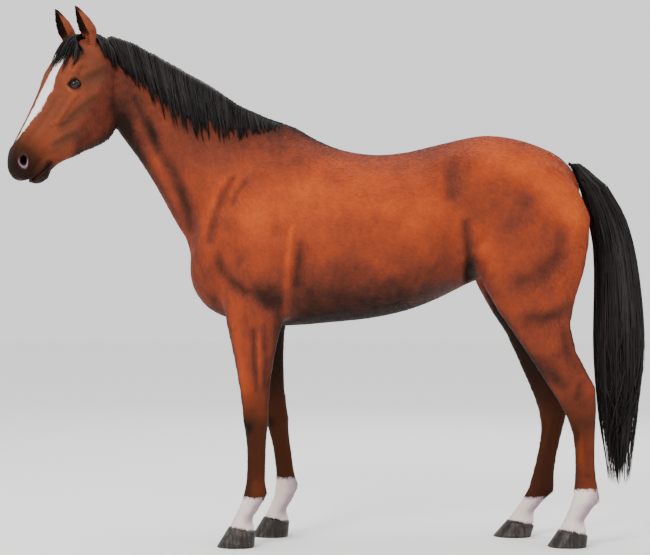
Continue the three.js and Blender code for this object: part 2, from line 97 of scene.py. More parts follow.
def copyOf(names, newName):
    deselectAll()
    for name in names:
        piece = nodes[name].copy()
        piece.data = nodes[name].data.copy()
        for key in list(piece.keys()):
            del piece[key]
        piece.parent = None
        bpy.context.scene.collection.objects.link(piece)
        piece.select_set(True)
        bpy.context.view_layer.objects.active = piece
    bpy.ops.object.join()
    joined = bpy.context.object
    joined.name = joined.data.name = newName
    return joined


camera = {"lens": 90.5, "sensor": 36.0, "distance": 6.37, "height": 1.031, "along": -0.031}
studio = {
    "floorHex": "#fbfaf9",
    "worldHex": "#ffffff",
    "worldStrength": 1.25,
    "aim": (0, 0, 1.0),
    # place, width and height in metres, and watts
    "keyLight": ((-2.6, -4.4, 4.6), (1.7, 1.7), 230),
    "fillLight": ((4.5, -4.0, 2.2), (3.5, 2.5), 60),
    "topLight": ((0.2, 0.6, 5.0), (4.5, 2.5), 90),
    "backLight": ((1.5, 4.8, 3.2), (3.5, 2.5), 60),
}


def srgb(hexCode, alpha=1.0):
    values = [int(hexCode[i:i + 2], 16) / 255 for i in (1, 3, 5)]
    return (*[v / 12.92 if v <= 0.04045 else ((v + 0.055) / 1.055) ** 2.4 for v in values], alpha)


def newMaterial(name):
    material = bpy.data.materials.new(name)
    material.use_nodes = True
    tree = material.node_tree
    return material, tree, tree.nodes["Principled BSDF"]


def feed(tree, node, inputs):
    # Each input, by name or number, takes a value or the socket that feeds it.
    for key, value in inputs.items():
        if isinstance(value, bpy.types.NodeSocket):
            tree.links.new(value, node.inputs[key])
        else:
            node.inputs[key].default_value = value


def addCamera():
    data = bpy.data.cameras.new("camera")
    obj = bpy.data.objects.new("camera", data)
    bpy.context.scene.collection.objects.link(obj)
    data.lens = camera["lens"]
    data.sensor_width = camera["sensor"]
    data.clip_end = 60
    obj.location = (camera["along"], -camera["distance"], camera["height"])
    obj.rotation_euler = (math.radians(90), 0, 0)
    bpy.context.scene.camera = obj


def addLight(name, place, size, power):
    data = bpy.data.lights.new(name, "AREA")
    data.shape = "RECTANGLE"
    data.size, data.size_y = size
    data.energy = power
    obj = bpy.data.objects.new(name, data)
    bpy.context.scene.collection.objects.link(obj)
    obj.location = place
    obj.rotation_mode = "QUATERNION"
    obj.rotation_quaternion = (Vector(studio["aim"]) - Vector(place)).to_track_quat("-Z", "Y")


def addStudio():
    for name in ("keyLight", "fillLight", "topLight", "backLight"):
        addLight(name, *studio[name])
    world = bpy.data.worlds.new("studio")
    bpy.context.scene.world = world
    world.use_nodes = True
    sky = {"Color": srgb(studio["worldHex"]), "Strength": studio["worldStrength"]}
    feed(world.node_tree, world.node_tree.nodes["Background"], sky)
    deselectAll()
    bpy.ops.mesh.primitive_plane_add(size=40, location=(0, 0, 0))
    floor = bpy.context.object
    floor.name = "floor"
    paper, tree, shader = newMaterial("matt paper")
    feed(tree, shader, {"Base Color": srgb(studio["floorHex"]), "Roughness": 0.85})
    floor.data.materials.append(paper)


addCamera()
addStudio()
print("studio set")

# Shapes are laid out on a horse that stands square with a straight neck, in metres, with x = 0 where the
# frame has it and y = 0 in the middle of the horse. placed() turns the neck and head and strides the right
# legs, and straightened() goes back.
stance = {
    "bendStart": -0.570,  # where the neck starts to bend to the left,
    "bendLength": 0.330,  # over what length,
    "turn": 33,  # and by how many degrees
    "foreStride": 0.124,  # how far the right forefoot stands back, and from what height its leg slants
    "foreSwing": 0.900,
    "foreSwingGain": 1.19,  # it slants faster than evenly, and its pastern stands steeper
    "hindStride": -0.182,
    "hindSwing": 0.825,
    "toeX": -0.436,  # toe of the left forefoot
    "poll": (-1.000, 1.962),
    "headPitch": 56.5,  # degrees that the face falls below the horizontal
}
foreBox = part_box("hoof_fore_left")
trackBoxes = [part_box(f"hoof_{leg}") for leg in ("fore_left", "fore_right")]
middle = np.array([
    foreBox[0][0] - stance["toeX"],
    sum(box[0][1] + box[1][1] for box in trackBoxes) / 4,
    0.0,
])
bendAngle = math.radians(stance["turn"])
bendRadius = stance["bendLength"] / bendAngle


def strideAt(co):
    right = co[:, 1] > 0
    fore = co[:, 0] < 0.2
    foreShare = (1 - co[:, 2] / stance["foreSwing"]) * stance["foreSwingGain"]
    foreShift = stance["foreStride"] * np.clip(foreShare, 0, 1)
    hindShift = stance["hindStride"] * np.clip(1 - co[:, 2] / stance["hindSwing"], 0, 1)
    return np.where(right, np.where(fore, foreShift, hindShift), 0)


def placed(straight):
    co = np.array(straight, float).reshape(-1, 3)
    ahead = stance["bendStart"] - co[:, 0]
    angle = np.clip(ahead, 0, stance["bendLength"]) / stance["bendLength"] * bendAngle
    on = np.maximum(ahead - stance["bendLength"], 0)
    out = bendRadius + co[:, 1]
    bentX = stance["bendStart"] - out * np.sin(angle) - on * np.cos(angle)
    bentY = out * np.cos(angle) - bendRadius - on * np.sin(angle)
    bent = ahead > 0
    x = np.where(bent, bentX, co[:, 0] + strideAt(co))
    y = np.where(bent, bentY, co[:, 1])
    return np.column_stack([x, y, co[:, 2]]) + middle


def straightened(world):
    co = np.array(world, float).reshape(-1, 3) - middle
    px = co[:, 0] - stance["bendStart"]
    py = co[:, 1] + bendRadius
    angle = np.clip(np.arctan2(-px, py), 0, bendAngle)
    out = -px * np.sin(angle) + py * np.cos(angle)
    on = np.maximum(-px * np.cos(angle) - py * np.sin(angle), 0)
    bent = px < 0
    x = np.where(bent, stance["bendStart"] - angle / bendAngle * stance["bendLength"] - on, co[:, 0])
    y = np.where(bent, out - bendRadius, co[:, 1])
    result = np.column_stack([x, y, co[:, 2]])
    result[:, 0] -= np.where(bent, 0, strideAt(result))
    return result


def unit(vectors):
    vectors = np.asarray(vectors, float)
    return vectors / np.maximum(np.linalg.norm(vectors, axis=-1, keepdims=True), 1e-9)


def straightNormals(obj, normal):
    co = coordsOf(obj)
    return unit(straightened(co + normal * 0.002) - straightened(co))


pitch = math.radians(stance["headPitch"])


def headSpace(straight):
    # Down the face from the poll, out to the side, and up out of the forehead.
    dx = straight[:, 0] - stance["poll"][0]
    dz = straight[:, 2] - stance["poll"][1]
    along = -dx * math.cos(pitch) - dz * math.sin(pitch)
    up = -dx * math.sin(pitch) + dz * math.cos(pitch)
    return along, straight[:, 1], up


def fromHead(along, side, up):
    x = stance["poll"][0] - along * math.cos(pitch) - up * math.sin(pitch)
    z = stance["poll"][1] - along * math.sin(pitch) + up * math.cos(pitch)
    return np.array([x, side, z])


def smoothstep(low, high, value):
    t = np.clip((value - low) / (high - low), 0, 1)
    return t * t * (3 - 2 * t)


def bell(value, reach):
    # One where the value is zero, and fading to both sides of it.
    return np.exp(-((value / reach) ** 2))


def distanceToPath(points, path):
    # Shortest distance from each point to a broken line, in as many dimensions as the points have.
    best = np.full(len(points), 1e9)
    path = np.array(path, float)
    for a, b in zip(path[:-1], path[1:]):
        span = b - a
        t = np.clip(((points - a) @ span) / max(span @ span, 1e-12), 0, 1)
        gap = points - a - t[:, None] * span
        best = np.minimum(best, np.sqrt((gap * gap).sum(1)))
    return best


legNames = ["fore_left", "fore_right", "hind_left", "hind_right"]
fleshNames = (
    ["head", "neck", "trunk", "ear_left", "ear_right"]
    + [f"{part}_{side}" for part in ("forearm", "gaskin") for side in ("left", "right")]
    + [f"{part}_{leg}" for part in ("cannon", "pastern") for leg in legNames]
)
skin = {
    "bodyVoxel": 0.011,
    "headVoxel": 0.0063,
    "bodyRounds": 90,  # of smoothing
    "headRounds": 30,
    "seamAt": -0.760,  # place on the neck where the finer head mesh meets the body mesh,
    "seamGap": 0.003,  # half the gap between them that is bridged,
    "seamReach": 0.03,  # and how far along the neck it is smoothed,
    "seamRounds": 25,  # in so many rounds
    "creaseReach": 0.016,  # how far out the lines round the roots of the ears are rounded off
    "depth": 0.0025,  # how far the skin lies under the tips of the coat
}
ears = {
    # the root of each, and the degrees that it leans forwards and that its opening faces outwards
    "left": ((-0.979, -0.074, 1.920), 19, 6),
    "right": ((-0.998, 0.080, 1.925), 17, -12),
}
earLeaf = {
    "voxel": 0.0026,
    "swell": 0.0030,  # how much it is fattened for the remesh,
    "thin": 0.85,  # and the share of that taken off again
    "rounds": 14,
    "rootTop": 1.972,  # heights between which its root draws together,
    "rootFoot": 1.930,
    "draw": 0.30,  # how far it does,
    "sink": 0.016,  # and how far it goes down into the skull
}


def meanOfNeighbours(co, edges, degree):
    total = np.empty_like(co)
    for axis in range(3):
        total[:, axis] = np.bincount(edges[:, 0], co[edges[:, 1], axis], len(co))
        total[:, axis] += np.bincount(edges[:, 1], co[edges[:, 0], axis], len(co))
    return total / degree


def smoothSkin(obj, rounds, weight=1.0, pull=0.6, push=0.612):
    # Each round pulls points to their neighbours' mean, then pushes them a little further back, so that the
    # bulk stays.
    co, edges = coordsOf(obj), edgesOf(obj)
    degree = np.maximum(np.bincount(edges.ravel(), minlength=len(co)), 1)[:, None]
    weight = np.broadcast_to(np.asarray(weight, float), (len(co),))[:, None]
    for _ in range(rounds):
        for step in (pull, -push):
            co = co + (meanOfNeighbours(co, edges, degree) - co) * step * weight
    setCoords(obj, co)


def bodyWeight(straight):
    # Strong on the trunk, where shoulder and thigh flow into it, and weak on the lower legs.
    lower = smoothstep(0.35, 0.75, straight[:, 2])
    return 0.15 + 0.85 * lower


def remeshed(names, name, voxel):
    piece = copyOf(names, name)
    applyModifier(piece, "REMESH", mode="VOXEL", voxel_size=voxel, use_smooth_shade=True)
    return piece


def cutAt(obj, keepAhead):
    # Cuts the neck across at the seam.
    shift = -skin["seamGap"] if keepAhead else skin["seamGap"]
    here = placed([[skin["seamAt"] + shift, 0, 1.7]])[0]
    there = placed([[skin["seamAt"] + shift - 0.01, 0, 1.7]])[0]
    ahead = unit(there - here)
    openInEdit(obj)
    bpy.ops.mesh.bisect(plane_co=here, plane_no=ahead, clear_inner=keepAhead, clear_outer=not keepAhead)
    bpy.ops.object.mode_set(mode="OBJECT")


def earShare(straight):
    return smoothstep(1.944, 1.966, straight[:, 2]) * smoothstep(0.030, 0.038, np.abs(straight[:, 1]))


def makeEars():
    # The ears are thin leaves: fattened for the remesh, so that their rims hold, and thinned again after it.
    piece = copyOf(["ear_left", "ear_right"], "earSkin")
    openInEdit(piece)
    bpy.ops.mesh.remove_doubles(threshold=0.0002)
    bpy.ops.mesh.normals_make_consistent(inside=False)
    bpy.ops.object.mode_set(mode="OBJECT")
    setCoords(piece, coordsOf(piece) + normalsOf(piece) * earLeaf["swell"])
    applyModifier(piece, "REMESH", mode="VOXEL", voxel_size=earLeaf["voxel"], use_smooth_shade=True)
    smoothSkin(piece, earLeaf["rounds"])
    setCoords(piece, coordsOf(piece) - normalsOf(piece) * earLeaf["swell"] * earLeaf["thin"])
    smoothSkin(piece, 5, 1, 0.5, 0.2)
    # the root of each ear draws together like a funnel, down into the skull
    straight = straightened(coordsOf(piece))
    low = smoothstep(earLeaf["rootTop"], earLeaf["rootFoot"], straight[:, 2])
    for side, (root, _, _) in ears.items():
        here = (straight[:, 1] < 0) == (side == "left")
        middleOfRoot = np.array([root[0] + 0.004, root[1] * 0.80, 0])
        inward = (middleOfRoot - straight) * [1, 1, 0]
        straight += inward * (here * low * earLeaf["draw"])[:, None]
    straight[:, 2] -= earLeaf["sink"] * smoothstep(1.950, 1.934, straight[:, 2])
    setCoords(piece, placed(straight))
    return piece


def treeOf(co, obj):
    # What rays and nearest points are looked up in: the faces of a mesh, with its points at the given places.
    faces = [tuple(face.vertices) for face in obj.data.polygons]
    return BVHTree.FromPolygons([tuple(point) for point in co], faces)


def fillCreases(obj, trees):
    # Rounds off the line where the two surfaces met.
    co = coordsOf(obj)
    x, _, z = straightened(co).T
    near = np.zeros(len(co))
    for index in np.nonzero((z > 1.88) & (z < 2.02) & (x < -0.90))[0]:  # round the poll, where the ears are
        gap = max(tree.find_nearest(co[index])[3] for tree in trees)
        near[index] = smoothstep(skin["creaseReach"], skin["creaseReach"] / 4, gap)
    smoothSkin(obj, 14, near, 0.55, 0)


def makeSkin():
    body = remeshed(fleshNames, "skin", skin["bodyVoxel"])
    smoothSkin(body, skin["bodyRounds"], bodyWeight(straightened(coordsOf(body))))
    print("  body mesh", len(body.data.polygons))
    head = remeshed(["head", "neck", "eye_left", "eye_right"], "headSkin", skin["headVoxel"])
    onHead = smoothstep(-0.25, 0.05, headSpace(straightened(coordsOf(head)))[0])
    smoothSkin(head, skin["headRounds"], 1 - 0.55 * onHead)
    earPair = makeEars()
    print("  ear mesh", len(earPair.data.polygons))
    trees = [treeOf(coordsOf(obj), obj) for obj in (head, earPair)]
    applyModifier(head, "BOOLEAN", operation="UNION", object=earPair, solver="MANIFOLD")
    bpy.data.objects.remove(earPair)
    fillCreases(head, trees)
    print("  head mesh", len(head.data.polygons))
    cutAt(body, False)
    cutAt(head, True)
    deselectAll()
    head.select_set(True)
    body.select_set(True)
    bpy.context.view_layer.objects.active = body
    bpy.ops.object.join()
    openInEdit(body, "DESELECT", "EDGE")
    bpy.ops.mesh.select_non_manifold(extend=False, use_wire=False, use_boundary=True, use_multi_face=False,
                                     use_non_contiguous=False, use_verts=False)
    bpy.ops.mesh.bridge_edge_loops()
    bpy.ops.object.mode_set(mode="OBJECT")
    straight = straightened(coordsOf(body))
    seam = bell(straight[:, 0] - skin["seamAt"], skin["seamReach"]) * (straight[:, 2] > 1.2)
    smoothSkin(body, skin["seamRounds"], seam)
    depth = skin["depth"] * (1 - 0.8 * earShare(straightened(coordsOf(body))))
    setCoords(body, coordsOf(body) - normalsOf(body) * depth[:, None])
    makeActive(body)
    bpy.ops.object.shade_smooth()
    return body


body = makeSkin()
print("skin:", len(body.data.polygons), "faces")

# Muscles, bones and folds under the skin. Each runs along a line in the side view of the square-standing
# horse, both sides alike. After the line come the reach of its slope, its rise, and how much painted shade
# darkens the coat along it: painted shade in its grooves and hollows, painted highlight on its ridges where
# the number is below zero.
bodyForms = {
    "bladeRidge": ([(-0.394, 1.408), (-0.437, 1.341), (-0.462, 1.268), (-0.480, 1.187)], 0.018, 0.007, -0.40),
    "bladeGroove": (
        [(-0.373, 1.408), (-0.405, 1.361), (-0.438, 1.281), (-0.457, 1.208), (-0.460, 1.168)],
        0.012, -0.008, 0.56),
    "bladeMiddle": ([(-0.353, 1.401), (-0.397, 1.321), (-0.424, 1.261)], 0.012, 0.003, -0.18),
    "secondGroove": ([(-0.323, 1.394), (-0.357, 1.348), (-0.370, 1.307)], 0.010, -0.005, 0.40),
    "armHollow": ([(-0.343, 1.114), (-0.340, 1.082)], 0.022, -0.004, 0.40),
    "tricepsEdge": (
        [(-0.424, 1.114), (-0.410, 1.061), (-0.370, 1.014), (-0.323, 0.974)],
        0.016, -0.008, 0.55),
    "tricepsUnder": ([(-0.283, 0.968), (-0.237, 0.935), (-0.204, 0.935)], 0.030, -0.005, 0.70),
    "tricepsShade": ([(-0.300, 1.010), (-0.210, 0.990)], 0.040, 0.000, 0.32),
    "triceps": ([(-0.320, 1.080), (-0.220, 1.030)], 0.080, 0.008, -0.05),
    "tricepsTop": ([(-0.211, 1.262), (-0.203, 1.194)], 0.018, -0.003, 0.22),
    "tricepsBack": (
        [(-0.143, 1.214), (-0.160, 1.101), (-0.165, 1.001), (-0.168, 0.881)],
        0.011, 0.005, -0.42),
    "elbowHollow": ([(-0.110, 1.158), (-0.118, 1.088), (-0.128, 1.007)], 0.014, -0.008, 0.42),
    "shoulderPoint": ([(-0.470, 1.110), (-0.460, 1.090)], 0.050, 0.007, 0.00),
    "breastSide": ([(-0.463, 1.074), (-0.477, 1.007)], 0.028, 0.003, 0.22),
    "breastUnder": ([(-0.460, 0.960), (-0.440, 0.935)], 0.024, 0.000, 0.36),
    "armFront": ([(-0.377, 0.950), (-0.364, 0.868)], 0.024, 0.003, -0.26),
    "throat": ([(-0.828, 1.650), (-0.806, 1.606), (-0.794, 1.580)], 0.018, -0.003, 0.34),
    "throatLine": ([(-0.780, 1.560), (-0.712, 1.465), (-0.643, 1.348), (-0.585, 1.250)], 0.010, 0.000, 0.26),
    "neckRidge": ([(-0.768, 1.610), (-0.710, 1.520), (-0.643, 1.398), (-0.588, 1.300)], 0.016, 0.005, -0.20),
    "jugularTop": ([(-0.782, 1.722), (-0.738, 1.640), (-0.694, 1.556), (-0.640, 1.468)], 0.012, -0.005, 0.30),
    "jugularGroove": (
        [(-0.630, 1.475), (-0.578, 1.368), (-0.552, 1.288), (-0.538, 1.213)],
        0.022, -0.008, 0.55),
    "neckMuscle": ([(-0.741, 1.748), (-0.679, 1.667), (-0.617, 1.586), (-0.554, 1.520)], 0.030, 0.006, -0.18),
    "neckFold": ([(-0.720, 1.640), (-0.690, 1.560)], 0.008, -0.003, 0.20),
    "girth": ([(-0.075, 1.300), (-0.060, 1.050)], 0.050, 0.003, -0.03),
    "hipHollow": ([(0.455, 1.450), (0.462, 1.335)], 0.024, -0.009, 0.44),
    "hipPoint": ([(0.485, 1.490), (0.510, 1.470)], 0.036, 0.008, 0.00),
    "flankLine": ([(0.511, 1.235), (0.522, 1.166), (0.533, 1.103), (0.540, 1.024)], 0.014, -0.012, 0.55),
    "flankPocket": ([(0.533, 1.070), (0.550, 1.015)], 0.028, -0.006, 0.52),
    "stifleFold": ([(0.556, 1.206), (0.580, 1.140), (0.610, 1.060)], 0.024, 0.007, -0.20),
    "thighGroove": ([(0.880, 1.206), (0.864, 1.110), (0.784, 1.040), (0.713, 1.008)], 0.026, -0.009, 0.46),
    "thighShade": ([(0.640, 1.080), (0.720, 1.040)], 0.050, 0.000, 0.20),
    "haunchGroove": ([(0.739, 1.349), (0.723, 1.285), (0.675, 1.230)], 0.036, -0.005, 0.30),
    "croupLine": ([(0.620, 1.505), (0.740, 1.440), (0.830, 1.350)], 0.030, -0.003, -0.08),
    "buttock": ([(0.930, 1.350), (0.940, 1.150), (0.890, 0.992)], 0.032, 0.004, -0.20),
    "gaskinShade": ([(0.757, 0.879), (0.817, 0.879), (0.869, 0.900), (0.910, 0.920)], 0.020, -0.004, 0.48),
    "gaskinMuscle": ([(0.839, 0.789), (0.854, 0.759)], 0.032, 0.005, -0.16),
    "gaskinFront": ([(0.775, 0.740), (0.835, 0.660)], 0.026, 0.000, 0.30),
    "stifle": ([(0.640, 0.960), (0.655, 0.930)], 0.035, 0.006, 0.00),
    "hamstringGroove": ([(0.885, 0.840), (0.905, 0.750), (0.948, 0.665)], 0.013, -0.009, 0.20),
    "hockFront": ([(0.850, 0.658), (0.900, 0.615)], 0.020, 0.000, 0.34),
    "hockHollow": ([(0.955, 0.625), (0.940, 0.570)], 0.010, -0.005, 0.36),
    "hockBone": ([(0.905, 0.560), (0.915, 0.530)], 0.018, 0.004, 0.00),
    "hockPoint": ([(1.000, 0.615), (1.005, 0.590)], 0.020, 0.003, -0.10),
    "underHock": ([(0.915, 0.480), (1.000, 0.475)], 0.018, 0.000, 0.32),
    "hindShin": ([(0.950, 0.420), (0.952, 0.330)], 0.012, 0.000, -0.60),
    "forearmMuscle": ([(-0.364, 0.842), (-0.338, 0.681), (-0.318, 0.540)], 0.014, 0.005, -0.30),
    "forearmGroove": ([(-0.292, 0.830), (-0.286, 0.681), (-0.278, 0.596)], 0.008, -0.006, 0.50),
    "forearmStrip": ([(-0.271, 0.819), (-0.267, 0.596)], 0.006, 0.002, -0.20),
    "forearmSecond": ([(-0.250, 0.850), (-0.243, 0.713), (-0.252, 0.596)], 0.009, -0.004, 0.50),
    "forearmBack": ([(-0.205, 0.883), (-0.221, 0.681), (-0.233, 0.540)], 0.012, 0.000, 0.36),
    "kneeBone": ([(-0.322, 0.512), (-0.318, 0.480)], 0.016, 0.005, 0.10),
    "kneeBack": ([(-0.250, 0.500), (-0.252, 0.470)], 0.014, 0.004, 0.00),
    "kneeHollow": ([(-0.288, 0.520), (-0.284, 0.470)], 0.009, -0.004, 0.20),
    "foreTendon": ([(-0.281, 0.425), (-0.280, 0.330), (-0.284, 0.260)], 0.008, -0.005, 0.20),
    "hindTendon": ([(0.974, 0.460), (0.978, 0.360), (0.982, 0.265)], 0.008, -0.005, 0.20),
    "foreFetlock": ([(-0.290, 0.205), (-0.296, 0.185)], 0.018, 0.004, 0.00),
    "hindFetlock": ([(0.978, 0.200), (0.972, 0.180)], 0.018, 0.004, 0.00),
    "forePastern": ([(-0.316, 0.150), (-0.332, 0.120)], 0.014, -0.003, 0.00),
    "hindPastern": ([(0.960, 0.145), (0.944, 0.110)], 0.014, -0.003, 0.00),
}
# The same on the head: how far down the face from the poll, and how far out of the forehead's plane.
headForms = {
    "facialCrest": ([(0.235, -0.090), (0.350, -0.097)], 0.010, 0.006, -0.12),
    "underCrest": ([(0.350, -0.126), (0.275, -0.140), (0.200, -0.162)], 0.014, -0.005, 0.80),
    "jawBar": ([(0.415, -0.148), (0.305, -0.204)], 0.013, -0.005, 0.80),
    "temple": ([(0.166, -0.092), (0.095, -0.134), (0.050, -0.165)], 0.017, -0.005, 0.70),
    "eyeHollow": ([(0.130, -0.060), (0.148, -0.056)], 0.015, -0.007, 0.16),
    "brow": ([(0.165, -0.042), (0.222, -0.036)], 0.013, 0.006, -0.10),
    "noseSide": ([(0.280, -0.048), (0.400, -0.058), (0.470, -0.055)], 0.012, -0.005, 0.10),
    "cheek": ([(0.190, -0.190), (0.230, -0.200)], 0.060, 0.004, -0.06),
    "faceVein": ([(0.290, -0.150), (0.335, -0.118), (0.372, -0.085)], 0.005, 0.002, 0.00),
    "nostrilWing": ([(0.520, -0.030), (0.560, -0.028)], 0.014, 0.005, 0.00),
    "upperLip": ([(0.600, -0.110), (0.560, -0.138), (0.510, -0.150)], 0.010, 0.004, 0.00),
    "lowerLip": ([(0.588, -0.155), (0.545, -0.166), (0.505, -0.172)], 0.009, 0.003, 0.00),
    "chinGroove": ([(0.492, -0.190), (0.486, -0.205)], 0.012, -0.006, 0.10),
}
topline = {"crest": 0.010, "withers": 0.017, "furrow": 0.010}


def pathAmount(points, path, reach):
    return bell(distanceToPath(points, path), reach)


def softShade(points, path, reach):
    # A painted shade around a line, wider than the form itself and fading out towards both ends; a negative
    # amount makes it a painted highlight.
    path = np.array(path, float)
    middleOfPath = (path[0] + path[-1]) / 2
    span = max(np.linalg.norm(path[-1] - path[0]), 0.02)
    fromMiddle = np.linalg.norm(points - middleOfPath, axis=1) / span
    return pathAmount(points, path, reach * 1.15 + 0.003) * (0.55 + 0.45 * smoothstep(0.75, 0.20, fromMiddle))


def outwardShare(obj):
    # How far each point's surface faces to the side rather than up, down or along.
    normal = normalsOf(obj)
    return smoothstep(0.10, 0.55, np.abs(straightNormals(obj, normal)[:, 1]))


def headShare(straight):
    # One on the head, nothing behind the jaw.
    return smoothstep(-0.905, -0.955, straight[:, 0] + 0.10 * smoothstep(1.80, 1.60, straight[:, 2]))


def shapeForms(obj):
    straight = straightened(coordsOf(obj))
    normal = normalsOf(obj)
    outward = outwardShare(obj)
    head = headShare(straight)
    side = straight[:, [0, 2]]
    along, _, up = headSpace(straight)
    face = np.column_stack([along, up])
    rise = np.zeros(len(straight))
    for path, reach, height, _ in bodyForms.values():
        rise += height * pathAmount(side, path, reach) * outward * (1 - head)
    for path, reach, height, _ in headForms.values():
        rise += height * pathAmount(face, path, reach) * outward * head
    # along the middle, the crest of the neck and the withers stand higher
    x, y, z = straight.T
    topward = smoothstep(0.1, 0.8, straightNormals(obj, normal)[:, 2]) * (z > 1.4)
    crest = topline["crest"] * smoothstep(-0.94, -0.86, x) * smoothstep(-0.34, -0.46, x) * bell(y, 0.035)
    withers = topline["withers"] * bell(x + 0.17, 0.075) * bell(y, 0.055)
    rise += (crest + withers) * topward * (1 - head)
    # and a furrow runs down the breast
    breast = smoothstep(-0.42, -0.50, x) * smoothstep(1.24, 1.12, z) * smoothstep(0.85, 0.95, z)
    rise -= topline["furrow"] * bell(y, 0.018) * breast
    setCoords(obj, coordsOf(obj) + normal * rise[:, None])


eye = {
    "radius": 0.0215,
    "openHalfLength": 0.0240,
    "openUp": 0.0170,  # how high the upper lid arches over the middle of the eye
    "openDown": 0.0132,
    "lidThickness": 0.0024,
    "lidGap": 0.0006,  # between the lids and the eyeball
    "upperFold": 0.0016,
    "lowerFold": 0.0008,
    "behindLids": 0.84,  # where the skin lies behind the opening, as a share of the radius
    "facesAhead": 22,  # degrees that the eye looks ahead of straight sideways
    "facesDown": 3,
    "fineMesh": 0.046,  # how far round it the skin has a finer mesh
    "pupilHalfLength": 0.0088,
    "pupilHalfHeight": 0.0042,
    "cornea": 0.05,  # how far the clear cornea stands out in front, as a share of the radius
}
nostril = {
    "along": 0.548,
    "side": 0.054,
    "up": -0.070,
    "halfLength": 0.0205,
    "halfWidth": 0.0130,
    "bend": 6,  # how much the opening bends, like a comma
    "depth": 0.022,
    "rim": 0.0040,
    "fineMesh": 0.040,
}
mouth = {
    "line": [(0.600, -0.130), (0.580, -0.148), (0.540, -0.158), (0.500, -0.167), (0.480, -0.172)],
    "depth": 0.0055,
    "reach": 0.0030,
    "lip": 0.0016,  # how far the lips swell beside it
}


def placedDirection(at, direction):
    at = np.asarray(at, float)
    return unit(placed(at + np.asarray(direction) * 0.001)[0] - placed(at)[0])


def boxMiddle(name):
    low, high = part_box(name)
    return (np.array(low) + np.array(high)) / 2


def eyeAxes(side):
    # Middle of the eyeball, the way it looks, and the lines to its rear corner and to its upper lid.
    centre = boxMiddle(f"eye_{side}")
    at = straightened(centre)[0]
    out = -1 if side == "left" else 1
    ahead, down = math.radians(eye["facesAhead"]), math.radians(eye["facesDown"])
    look = placedDirection(at, [-math.sin(ahead), out * math.cos(ahead), -math.sin(down)])
    back = placedDirection(at, [1, 0, 0.05])
    back = unit(back - look * (back @ look))
    lift = np.cross(look, back) if side == "left" else np.cross(back, look)
    lift = lift if lift[2] > 0 else -lift
    return centre, look, back, unit(lift)


def nostrilAxes(side):
    out = -1 if side == "left" else 1
    at = fromHead(nostril["along"], out * nostril["side"], nostril["up"])
    centre = placed(at)[0]
    look = placedDirection(at, [-0.42, out * 0.88, -0.10])
    lengthwise = placedDirection(at, fromHead(-0.83, 0, 0.55) - fromHead(0, 0, 0))
    lengthwise = unit(lengthwise - look * (lengthwise @ look))
    return centre, look, lengthwise, np.cross(look, lengthwise)


def nostrilMeasure(co, side):
    # From the nostril's middle to each point, how far out of its plane that is, and in which ring round it.
    centre, look, lengthwise, across = nostrilAxes(side)
    away = co - centre
    p, q = away @ lengthwise, away @ across
    q = q + nostril["bend"] * p * p
    ring = np.sqrt((p / nostril["halfLength"]) ** 2 + (q / nostril["halfWidth"]) ** 2)
    return away, away @ look, ring


def distanceTo(place, co):
    return np.linalg.norm(co - place, axis=1)


def refineNear(obj, places):
    # Splits the faces that have a point within each place's reach.
    co = coordsOf(obj)
    near = np.zeros(len(co), bool)
    for centre, reach in places:
        near |= distanceTo(centre, co) < reach
    along, _, up = headSpace(straightened(co))
    lips = distanceToPath(np.column_stack([along, up]), mouth["line"]) < 0.010
    near |= lips & (along > 0.47)
    openInEdit(obj, "DESELECT", "VERT")
    bpy.ops.object.mode_set(mode="OBJECT")
    obj.data.vertices.foreach_set("select", near)
    bpy.ops.object.mode_set(mode="EDIT")
    bpy.ops.mesh.select_mode(type="FACE")
    bpy.ops.mesh.subdivide(number_cuts=1, smoothness=0, ngon=True, quadcorner="INNERVERT")
    bpy.ops.object.mode_set(mode="OBJECT")


def lidMeasure(co, side):
    centre, look, back, lift = eyeAxes(side)
    away = co - centre
    u, w, n = away @ back, away @ lift, away @ look
    height = np.where(w > 0, eye["openUp"], eye["openDown"])
    opening = (u / eye["openHalfLength"]) ** 2 + np.abs(w) / height
    return centre, away, u, w, n, opening


def shapeEyelids(obj, side):
    co = coordsOf(obj)
    centre, away, _, w, n, opening = lidMeasure(co, side)
    _, _, back, lift = eyeAxes(side)
    radius = np.linalg.norm(away, axis=1)
    near = (radius < 0.055) & (n > -0.004)
    direction = away / np.maximum(radius, 1e-6)[:, None]
    lid = eye["radius"] + eye["lidThickness"] * smoothstep(0.98, 1.22, opening) + eye["lidGap"]
    folds = eye["upperFold"] * bell(opening - 2.0, 0.20) * (w > 0)
    folds += eye["lowerFold"] * bell(opening - 1.8, 0.18) * (w < 0)
    onBall = np.where(opening < 1, eye["radius"] * eye["behindLids"], lid - folds)
    share = 1 - smoothstep(1.6, 3.6, opening)
    share = np.where(near, share, 0)
    target = radius + (onBall - radius) * share
    co = centre + direction * target[:, None]
    # the edge of the opening is drawn onto its outline, so that the lid's margin is even
    edge = near & (opening > 0.80) & (opening < 1.20)
    wanted = np.where(opening < 1, 0.95, 1.04)
    scale = np.where(edge, np.sqrt(wanted / np.maximum(opening, 0.2)), 1)
    flat = (away @ back)[:, None] * back + (away @ lift)[:, None] * lift
    co = np.where(edge[:, None], co + flat * (scale - 1)[:, None], co)
    setCoords(obj, np.where(near[:, None], co, coordsOf(obj)))


def shapeNostril(obj, side):
    co = coordsOf(obj)
    centre, look, _, _ = nostrilAxes(side)
    _, n, ring = nostrilMeasure(co, side)
    near = (np.abs(n) < 0.030) & (ring < 3)
    hollow = nostril["depth"] * (1 - smoothstep(0.25, 1.0, ring))
    rim = nostril["rim"] * bell(ring - 1.35, 0.30)
    move = np.where(near, rim - hollow, 0)
    up = placedDirection(straightened(centre)[0], fromHead(-0.4, 0, -0.1) - fromHead(0, 0, 0))
    setCoords(obj, co + move[:, None] * look + np.where(near, hollow, 0)[:, None] * up * 0.5)


